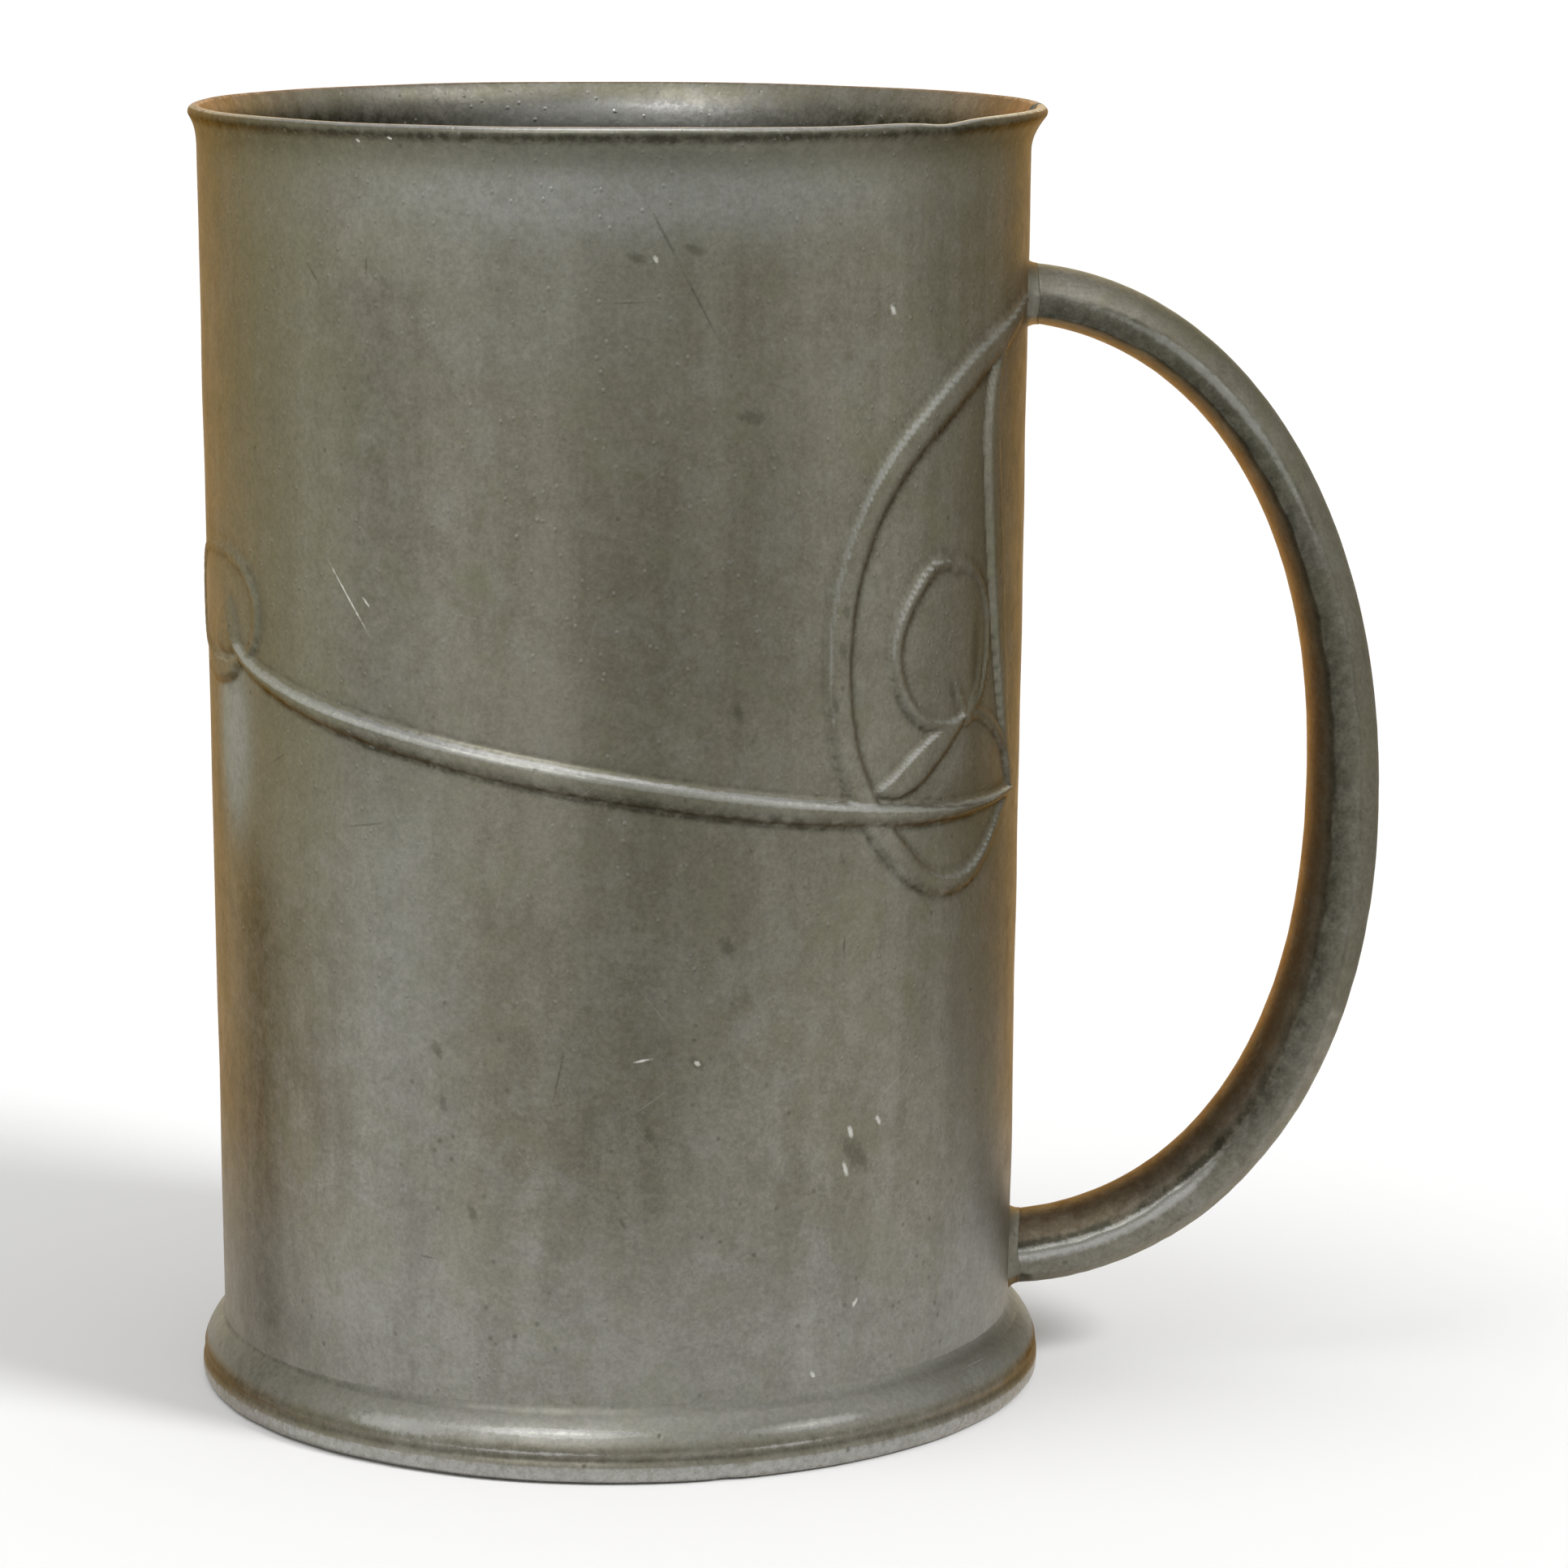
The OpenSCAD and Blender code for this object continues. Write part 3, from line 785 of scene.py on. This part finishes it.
def make_root_solder(name, upper, seed):
    """The hollow rim of solder round the bar where it meets the drum."""
    reach, breadth, rings, sunk = 1.2, 0.55, 8, 0.12
    ends = (BAR_TURN, 74) if upper else (-74, -BAR_TURN)
    t = np.radians(np.linspace(*ends, 120))
    bare = bar_points(t)
    swollen = bar_points(t, 1.0) - bare
    want = drum_r(bare[:, :, 2].mean()) + reach * np.linspace(0, 1, rings)
    n = bare.shape[1]
    around = np.arange(n) * 2 * math.pi / n
    wobble = 1 + 0.25 * ripple(around, seed, 2, 9)
    loop = []
    for face in (1, 0):
        for k in range(rings) if face else range(rings - 1, -1, -1):
            share = 1 - k / (rings - 1)
            grow = 0.04 + breadth * share**2 * wobble if face else -0.06 + 0 * around
            ring = []
            for i in range(n):
                order = np.argsort(bare[:, i, 0])
                x, y, z = bare[order, i].T
                _, dy, dz = swollen[order, i].T
                at = [np.interp(want[k], x, c) for c in (y, z, dy, dz)]
                py, pz = at[0] + grow[i] * at[2], at[1] + grow[i] * at[3]
                on_drum = math.sqrt(drum_r(pz) ** 2 - py**2)
                out = (reach + sunk) * (1 - share) * (0.9 + 0.1 * math.cos(3 * around[i]))
                ring.append([on_drum - sunk + out, py, pz])
            loop.append(ring)
    verts = np.array(loop)
    index = np.arange(verts.shape[0] * n).reshape(-1, n)
    return piece(name, verts.reshape(-1, 3), grid_faces(index, True, True))


# ---- materials


class Paint:
    """Short calls for building one node material."""

    def __init__(self, name):
        self.material = bpy.data.materials.new(name)
        self.material.use_nodes = True
        self.tree = self.material.node_tree
        self.tree.nodes.clear()

    def node(self, kind, inputs, output=0, **settings):
        n = self.tree.nodes.new("ShaderNode" + kind)
        for key, value in settings.items():
            setattr(n, key, value)
        for key, value in inputs.items():
            if isinstance(value, bpy.types.NodeSocket):
                self.tree.links.new(value, n.inputs[key])
            else:
                n.inputs[key].default_value = value
        return None if output is None else n.outputs[output]

    def math(self, operation, a, b=0.0, clamp=False):
        return self.node("Math", {0: a, 1: b}, operation=operation, use_clamp=clamp)

    def times(self, a, b, clamp=False):
        return self.math("MULTIPLY", a, b, clamp)

    def plus(self, a, b, share):
        """a with a share of b added."""
        return self.math("ADD", a, self.times(b, share))

    def minus(self, a, b, share):
        """a with a share of b taken off."""
        return self.math("SUBTRACT", a, self.times(b, share))

    def attribute(self, name, output=1):
        """One of the mesh's attributes: output 1 reads a vector and 2 a number."""
        return self.node("Attribute", {}, output, attribute_name=name)

    def mix(self, share, a, b, blend="MIX"):
        """Colours a and b mixed by share."""
        return self.node("Mix", {0: share, 6: a, 7: b}, 2, data_type="RGBA", blend_type=blend)

    def remap(self, value, low, high, to_low=0.0, to_high=1.0):
        inputs = {0: value, 1: low, 2: high, 3: to_low, 4: to_high}
        return self.node("MapRange", inputs, interpolation_type="SMOOTHSTEP")

    def place(self, scale=(1, 1, 1), turn=(0, 0, 0), attribute=None, shift=(0, 0, 0)):
        """Places in millimetres, scaled and turned."""
        if attribute:
            where = self.attribute(attribute)
            unit = 1.0
        else:
            where = self.node("TexCoord", {}, 3)
            unit = 1 / MM
        size = [unit * s for s in scale]
        inputs = {0: where, 1: shift, 2: turn, 3: size}
        return self.node("Mapping", inputs)

    def noise(self, where, scale, detail=4.0, rough=0.55, twist=0.0):
        inputs = {"Vector": where, "Scale": scale, "Detail": detail, "Roughness": rough,
                  "Distortion": twist}
        return self.node("TexNoise", inputs)

    def cells(self, where, scale, output=0):
        inputs = {"Vector": where, "Scale": scale}
        return self.node("TexVoronoi", inputs, output)

    def finish(self, colour, rough, height, edge):
        """Ends the material: a metal with this colour, roughness, and bump height in millimetres."""
        normal = self.node("Bump", {"Strength": 1.0, "Distance": MM, "Height": height})
        inputs = {"Base Color": colour, "Metallic": 1.0, "Roughness": rough, "Normal": normal,
                  "Specular Tint": edge}
        shader = self.node("BsdfPrincipled", inputs)
        out = self.tree.nodes.new("ShaderNodeOutputMaterial")
        self.tree.links.new(shader, out.inputs[0])
        return self.material


PEWTER_LIGHT = (0.276, 0.264, 0.226, 1)
PEWTER_DARK = (0.18, 0.169, 0.133, 1)
PEWTER_BLACK = (0.055, 0.052, 0.038, 1)
PEWTER_OLIVE = (0.21, 0.205, 0.145, 1)
# The brown inside the handle's curve: a painted reflection of warm surroundings
REFLECTED_BROWN = (0.2, 0.135, 0.08, 1)
PEWTER_CLEAN = (0.318, 0.317, 0.308, 1)
PEWTER_BRIGHT = (0.44, 0.438, 0.424, 1)
# Solder grey, kept dark to stand in for the shade where the handle meets the drum
SHADED_SOLDER_GREY = (0.19, 0.185, 0.158, 1)
BARE_METAL = (0.62, 0.615, 0.58, 1)
# The colours that the metal turns where it is seen along its face: brown on the drum, foot, floor and
# solder, warm or dull on the handle, and nearly white where it is clean or rubbed
BROWN_EDGE = (0.9, 0.58, 0.3, 1)
HANDLE_EDGE = (0.85, 0.65, 0.42, 1)
DULL_EDGE = (0.85, 0.8, 0.7, 1)
CLEAN_EDGE = (1, 0.95, 0.88, 1)


def aged(paint, light, streak=0.5):
    """Mottled old pewter with soft runs: its colour, roughness and bump height."""
    here = paint.place()
    broad = paint.noise(here, 0.06, 3, 0.5, 0.6)
    medium = paint.noise(here, 0.4, 5, 0.65, 0.3)
    fine = paint.noise(here, 2.6, 3, 0.65)
    runs = paint.noise(paint.place((1, 1, 0.1)), 0.2, 3, 0.6, 0.3)
    tone = paint.plus(paint.times(broad, 0.3), medium, 0.35)
    tone = paint.plus(tone, fine, 0.35)
    tone = paint.plus(tone, paint.math("SUBTRACT", runs, 0.5), streak)
    colour = paint.mix(paint.remap(tone, 0.34, 0.66), PEWTER_DARK, light)

    patches = paint.remap(paint.noise(paint.place(shift=(31, 7, 3)), 0.13, 4, 0.6, 0.5), 0.48, 0.62, 0, 0.5)
    colour = paint.mix(patches, colour, PEWTER_OLIVE)
    cool = paint.remap(paint.noise(paint.place(shift=(3, 57, 13)), 0.2, 4, 0.65, 0.5), 0.52, 0.66, 0, 0.25)
    colour = paint.mix(cool, colour, PEWTER_CLEAN)

    rough = paint.remap(medium, 0.3, 0.7, 0.5, 0.42)
    height = paint.times(fine, 0.014)
    height = paint.plus(height, medium, 0.03)
    return colour, rough, height


def speckle(paint, colour, height, pimples=1.0):
    """Grain over everything, raised pimples with a painted highlight above and painted shade below, and
    dark pits between.
    """
    here = paint.place()
    grain = paint.remap(paint.noise(paint.place(shift=(7, 1, 2)), 1.8, 5, 0.8), 0.34, 0.66, 0.89, 1.11)
    grey = paint.node("CombineXYZ", {0: grain, 1: grain, 2: grain})
    colour = paint.mix(1.0, colour, grey, "MULTIPLY")
    rise = paint.node("SeparateXYZ", {0: here}, 2)
    crowd = paint.noise(paint.place(shift=(9, 9, 77)), 0.07, 3, 0.6)
    crowd = paint.plus(crowd, rise, 0.0012)
    share = paint.remap(crowd, 0.5, 0.66, 0, pimples)
    # Two copies of the pimples, the second a little lower: the first gives the painted highlight on top,
    # the second the painted shade beneath
    lit_and_shaded_pimples = []
    for down in (0, 0.17):
        cell = paint.cells(paint.place(shift=(0, 0, down)), 0.75)
        lit_and_shaded_pimples.append(paint.times(paint.remap(cell, 0.06, 0.19, 1, 0), share))
    top, foot = lit_and_shaded_pimples
    pit = paint.remap(paint.cells(paint.place(shift=(5, 4, 3)), 0.42), 0.05, 0.15, 1, 0)
    pit = paint.times(pit, paint.remap(crowd, 0.62, 0.48))
    # Painted shade under each pimple, then a painted highlight on its top
    colour = paint.mix(paint.times(foot, 0.35), colour, PEWTER_BLACK)
    colour = paint.mix(paint.times(top, 0.25), colour, PEWTER_BRIGHT)
    colour = paint.mix(paint.times(pit, 0.4), colour, PEWTER_BLACK)
    height = paint.plus(height, top, 0.04)
    return colour, paint.minus(height, pit, 0.03)


def stain(paint, colour, warm=PEWTER_OLIVE, broken=0.25):
    """Dark, warm and pale places from the stain-and-light attribute, which holds stains together with
    painted shade, painted reflection and painted highlight. broken is how ragged their edges are.
    """
    patina_and_light = paint.attribute("patina_and_light")
    dark, tint, pale = (paint.node("SeparateXYZ", {0: patina_and_light}, k) for k in range(3))
    spread = 1.5 * broken
    grit = paint.noise(paint.place(shift=(2, 8, 6)), 0.7, 6, 0.75)
    ragged = paint.remap(grit, 0.3, 0.7, 1 - spread, 1 + spread)
    for share, other in ((tint, warm), (pale, PEWTER_CLEAN), (dark, PEWTER_BLACK)):
        colour = paint.mix(paint.times(share, ragged, True), colour, other)
    return colour


def wear_and_highlight(paint, colour, rough, edge, broken):
    """Rubbed edges and painted highlights, from the mesh's attribute for both: brighter, smoother and free
    of brown, in ragged flakes. Returns the colour, roughness and edge tint."""
    worn_and_lit = paint.attribute("worn_and_lit", 2)
    grit = paint.math("SUBTRACT", paint.noise(paint.place(), 1.4, 6, 0.75), 0.5)
    reach = paint.math("ADD", paint.times(grit, broken), 0.5)
    reach = paint.math("ADD", paint.times(worn_and_lit, 0.6), reach)
    share = paint.remap(reach, 0.68, 1.0)
    colour = paint.mix(paint.times(share, 0.7), colour, PEWTER_BRIGHT)
    colour = paint.mix(paint.remap(reach, 1.02, 1.35, 0, 0.9), colour, BARE_METAL)
    rough = paint.minus(rough, share, 0.22)
    return colour, rough, paint.mix(share, edge, CLEAN_EDGE)


def edge_tint(paint, channel, rate, low, high):
    """The colour the metal turns where it is seen along its face, led by one channel of the stain-and-light
    attribute.
    """
    patina_and_light = paint.attribute("patina_and_light")
    share = paint.node("SeparateXYZ", {0: patina_and_light}, channel)
    return paint.mix(paint.times(share, rate, True), low, high)


def hairlines(paint, colour, height):
    """Fine scratches in a few directions on the unrolled surface."""
    total = None
    for turn, scale in ((0.6, 0.5), (-0.9, 0.4), (1.35, 0.6), (-0.3, 0.45)):
        where = paint.place((1, 1, 1), (0, 0, turn), "wrap")
        long = paint.node("Mapping", {0: where, 3: (0.08, 2.6, 1)})
        line = paint.remap(paint.noise(long, scale * 2, 2, 0.5), 0.7, 0.75)
        total = line if total is None else paint.math("MAXIMUM", total, line)
    faint = paint.remap(paint.noise(paint.place(), 0.12, 2), 0.4, 0.65, 0.1, 0.8)
    share = paint.times(total, faint)
    colour = paint.mix(paint.times(share, 0.2), colour, PEWTER_BRIGHT)
    return colour, paint.minus(height, share, 0.008)


# Marks of use on the drum's front, among them painted shadows in the pod's folds and in the knocks and
# painted glints on the knocks: azimuth and height of both ends, and half the width
BRIGHT_MARKS_AND_GLINTS = [(-42, 88.6, -34.5, 81.3, 0.13), (-35.6, 85, -34.6, 84.2, 0.16),
    (2.3, 41.3, 4.6, 41.6, 0.16), (10.7, 41.1, 11, 40.9, 0.28), (39.2, 112.6, 39.6, 112, 0.35),
    (33.5, 33.1, 33.9, 32.3, 0.35), (38.3, 33.7, 38.7, 33.1, 0.32), (32.6, 29.7, 33.2, 28.5, 0.32),
    (34.4, 15.1, 35, 15.7, 0.24), (27.8, 9, 28.2, 8.4, 0.3), (-35.2, 128.4, -34.8, 128.2, 0.15),
    (-30.2, 128.7, -29.8, 128.6, 0.15), (5, 118, 5.4, 117.6, 0.25)]
DARK_MARKS_AND_SHADOWS = [(58.2, 82, 57.6, 74, 1.1), (51.6, 75.6, 52.6, 73.4, 0.7), (31.6, 84.2, 31.8, 83.4, 0.5),
    (31.2, 80.6, 31.2, 79.6, 0.6), (4.4, 122.7, 8.5, 117, 0.2), (8.5, 117, 13.4, 110.2, 0.18),
    (2.2, 118.1, 3.4, 117.7, 0.6), (9.6, 118.8, 11, 118.4, 0.6), (17, 103, 19.5, 102.6, 0.9),
    (16, 75.4, 16.6, 74.2, 0.7), (14.4, 52.8, 15.4, 51.8, 0.8), (4, 34.6, 4.6, 33.6, 0.6),
    (-25.4, 42.4, -24.6, 41.2, 0.6), (-24.4, 37.2, -24, 35.8, 0.5), (9.8, 41.6, 11.6, 40.6, 0.6),
    (32.6, 32, 36.4, 29, 1.2), (-38.8, 62.6, -32.6, 63.4, 0.16), (-55.4, 67.1, -51, 68.7, 0.16),
    (-0.5, 113.7, 4.1, 113.8, 0.15), (-44.5, 116.4, -42.4, 114.5, 0.16),
    (-34.2, 117.5, -34.2, 115.5, 0.2), (-6.9, 42.8, -8.9, 36.5, 0.14), (32.3, 52.6, 32.3, 49.6, 0.16),
    (-28.3, 21.1, -25.2, 20.9, 0.16), (-20.4, 26.6, -19.6, 25.2, 0.5), (30, 75.6, 30.6, 74.2, 0.4),
    (0.4, 25.8, 1.2, 24.8, 0.3)]


def marks(paint, places):
    """How strongly any of the marks covers a point of the drum."""
    wrap = paint.attribute("wrap")
    ragged = paint.math("SUBTRACT", paint.noise(paint.place(), 2, 4, 0.7), 0.5)
    total = 0.0
    for *ends, half in places:
        ends = unroll([ends[:2], ends[2:]])
        middle, along = ends.mean(0), ends[1] - ends[0]
        size = (np.hypot(*along) / 2 + half, half, 1)
        inputs = {0: wrap, 1: (*middle, 0), 2: (0, 0, math.atan2(along[1], along[0])), 3: size}
        where = paint.node("Mapping", inputs, vector_type="TEXTURE")
        far = paint.node("VectorMath", {0: where}, 1, operation="LENGTH")
        far = paint.plus(far, ragged, 1.6)
        total = paint.math("MAXIMUM", total, paint.remap(far, 0.3, 1.1, 1, 0))
    return total


def drum_metal():
    paint = Paint("old_pewter_drum")
    colour, rough, height = aged(paint, PEWTER_LIGHT)
    colour, height = speckle(paint, stain(paint, colour), height, 0.9)
    colour, height = hairlines(paint, colour, height)
    edge = edge_tint(paint, 2, 2.2, BROWN_EDGE, CLEAN_EDGE)
    colour, rough, edge = wear_and_highlight(paint, colour, rough, edge, 0.7)
    # Dark marks, with painted shadows in the pod's folds and in the knocks among them
    colour = paint.mix(paint.times(marks(paint, DARK_MARKS_AND_SHADOWS), 0.4), colour, PEWTER_BLACK)
    # Bright marks, with painted glints on the knocks among them
    bare = marks(paint, BRIGHT_MARKS_AND_GLINTS)
    colour = paint.mix(bare, colour, BARE_METAL)
    height = paint.minus(height, bare, 0.03)
    return paint.finish(colour, rough, height, edge)


def foot_metal():
    paint = Paint("old_pewter_foot")
    colour, rough, height = aged(paint, PEWTER_LIGHT, 0.1)
    colour, height = speckle(paint, stain(paint, colour), height, 0.3)
    edge = edge_tint(paint, 2, 2.2, BROWN_EDGE, CLEAN_EDGE)
    colour, rough, edge = wear_and_highlight(paint, colour, rough, edge, 0.8)
    return paint.finish(colour, rough, height, edge)


def handle_metal():
    paint = Paint("old_pewter_handle")
    colour, rough, height = aged(paint, PEWTER_LIGHT, 0.1)
    colour, height = speckle(paint, stain(paint, colour, REFLECTED_BROWN, 0.22), height, 0.3)
    edge = edge_tint(paint, 1, 1.5, DULL_EDGE, HANDLE_EDGE)
    colour, rough, edge = wear_and_highlight(paint, colour, rough, edge, 0.5)
    return paint.finish(colour, rough, height, edge)


def floor_metal():
    paint = Paint("old_pewter_floor")
    colour, rough, height = aged(paint, PEWTER_LIGHT, 0.0)
    colour, height = speckle(paint, colour, height, 0.5)
    return paint.finish(colour, rough, height, BROWN_EDGE)


def solder_metal():
    paint = Paint("grey_solder")
    colour, rough, height = aged(paint, SHADED_SOLDER_GREY, 0.0)
    colour, height = speckle(paint, colour, height, 0.5)
    return paint.finish(colour, rough, height, BROWN_EDGE)


# ---- stage, lights, camera


def make_stage():
    """A plain pale floor."""
    size = 60000
    corners = [(-size, -size, 0), (size, -size, 0), (size, size, 0), (-size, size, 0)]
    floor = piece("studio_floor", corners, [[0, 1, 2, 3]], smooth_faces=False)
    material = bpy.data.materials.new("pale_floor")
    material.use_nodes = True
    shader = material.node_tree.nodes["Principled BSDF"]
    shader.inputs["Base Color"].default_value = (0.92, 0.92, 0.92, 1)
    shader.inputs["Roughness"].default_value = 0.9
    shader.inputs["Specular IOR Level"].default_value = 0.0
    floor.data.materials.append(material)


RING_R = 140
RING_TOP = 220
# What the studio's cards show to the object: azimuth in degrees, then colour
RING = [(-180, 1.55, 1.15, 0.78), (-150, 1.0, 0.9, 0.68), (-125, 0.78, 0.76, 0.64), (-95, 0.71, 0.7, 0.61),
        (-60, 0.98, 0.99, 0.96), (-25, 0.74, 0.74, 0.69), (0, 0.56, 0.56, 0.51), (28, 0.54, 0.54, 0.49),
        (62, 0.9, 0.9, 0.87), (92, 0.48, 0.48, 0.43), (122, 0.37, 0.37, 0.33), (150, 1.5, 1.4, 1.1),
        (180, 1.4, 1.1, 0.75)]


def make_ring():
    """A ring of soft-toned cards round the object, which only its reflections see."""
    count = 120
    azimuth = np.linspace(-180, 180, count, endpoint=False)
    a = np.radians(azimuth)
    rows = [np.stack([RING_R * np.sin(a), -RING_R * np.cos(a), h + 0 * a], -1) for h in (1, RING_TOP)]
    stops = np.array(RING)
    tone = np.stack([np.interp(azimuth, stops[:, 0], stops[:, k]) for k in (1, 2, 3)], -1)
    faces = grid_faces(np.arange(2 * count).reshape(2, count), False, True)
    ring = piece("reflection_cards", np.vstack(rows), faces, {"tone": np.vstack([tone, tone])})
    paint = Paint("card_glow")
    colour = paint.attribute("tone")
    glow = paint.node("Emission", {"Color": colour})
    paint.node("OutputMaterial", {0: glow}, None)
    ring.data.materials.append(paint.material)
    ring.visible_camera = ring.visible_diffuse = ring.visible_shadow = False


def make_sun(name, azimuth, elevation, strength, angle, diffuse=True, glossy=True):
    """A far, soft light. It can be left out of the object's shading or out of its reflections."""
    lamp = bpy.data.lights.new(name, "SUN")
    lamp.energy, lamp.angle = strength, math.radians(angle)
    obj = bpy.data.objects.new(name, lamp)
    a, e = math.radians(azimuth), math.radians(elevation)
    towards = Vector((math.sin(a) * math.cos(e), -math.cos(a) * math.cos(e), math.sin(e)))
    obj.rotation_mode = "QUATERNION"
    obj.rotation_quaternion = towards.to_track_quat("Z", "Y")
    obj.visible_diffuse, obj.visible_glossy = diffuse, glossy
    bpy.context.scene.collection.objects.link(obj)


def make_world():
    """White behind the object, and a softer grey room in its reflections and on the floor."""
    world = bpy.data.worlds.new("studio")
    bpy.context.scene.world = world
    world.use_nodes = True
    tree = world.node_tree
    tree.nodes.clear()
    seen, room = (tree.nodes.new("ShaderNodeBackground") for _ in range(2))
    seen.inputs[0].default_value, seen.inputs[1].default_value = (1, 1, 1, 1), 1.0
    room.inputs[0].default_value, room.inputs[1].default_value = (1, 1, 1, 1), 0.63
    path = tree.nodes.new("ShaderNodeLightPath")
    choose = tree.nodes.new("ShaderNodeMixShader")
    tree.links.new(path.outputs["Is Camera Ray"], choose.inputs[0])
    tree.links.new(room.outputs[0], choose.inputs[1])
    tree.links.new(seen.outputs[0], choose.inputs[2])
    tree.links.new(choose.outputs[0], tree.nodes.new("ShaderNodeOutputWorld").inputs[0])


def make_camera():
    """The photograph's view: from the front, a little above, turned slightly towards the handle."""
    place = Vector((0, -536.7, 158.9)) * MM
    down, right_turn, roll = (math.radians(x) for x in (10.354, 1.829, 0.2))
    level = Vector((math.sin(right_turn), math.cos(right_turn), 0))
    ahead = level * math.cos(down) - Vector((0, 0, math.sin(down)))
    right = Vector((level.y, -level.x, 0))
    up = right.cross(ahead)
    side = right * math.cos(roll) + up * math.sin(roll)
    top = up * math.cos(roll) - right * math.sin(roll)
    data = bpy.data.cameras.new("camera")
    data.sensor_width, data.lens = 36, 122.57
    data.clip_start, data.clip_end = 0.01, 500
    camera = bpy.data.objects.new("camera", data)
    turn = Matrix((side, top, -ahead)).transposed()
    camera.matrix_world = Matrix.Translation(place) @ turn.to_4x4()
    bpy.context.scene.collection.objects.link(camera)
    bpy.context.scene.camera = camera


def place_piece(obj, material, node):
    obj.data.materials.append(material)
    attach(obj, BODY)
    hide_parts(node)


make_camera()
make_world()
make_stage()
make_sun("key_light", 57, 45, 1.6, 14, glossy=False)
make_sun("fill_light", -68, 68, 0.5, 24, glossy=False)
make_sun("key_gleam", 57, 45, 0.6, 20, diffuse=False)
make_sun("top_gleam", 0, 80, 0.35, 40, diffuse=False)
make_sun("fill_gleam", -22, 42, 0.9, 14, diffuse=False)
make_ring()
bpy.context.scene.view_settings.view_transform = "Standard"

solder = solder_metal()
place_piece(make_drum(), drum_metal(), "drum_wall")
place_piece(make_seam(), solder, "drum_seam")
foot_pewter = foot_metal()
place_piece(make_foot(), foot_pewter, "foot_ring")
place_piece(make_foot_fillet(), foot_pewter, "foot_solder")
place_piece(make_floor(), floor_metal(), "floor_disc")
place_piece(make_floor_fillet(), solder, "floor_solder")
place_piece(make_handle(), handle_metal(), "handle")
place_piece(make_root_solder("upper_root_rim", True, 81), solder, "handle_upper_solder")
place_piece(make_root_solder("lower_root_rim", False, 82), solder, "handle_lower_solder")

bpy.context.view_layer.update()
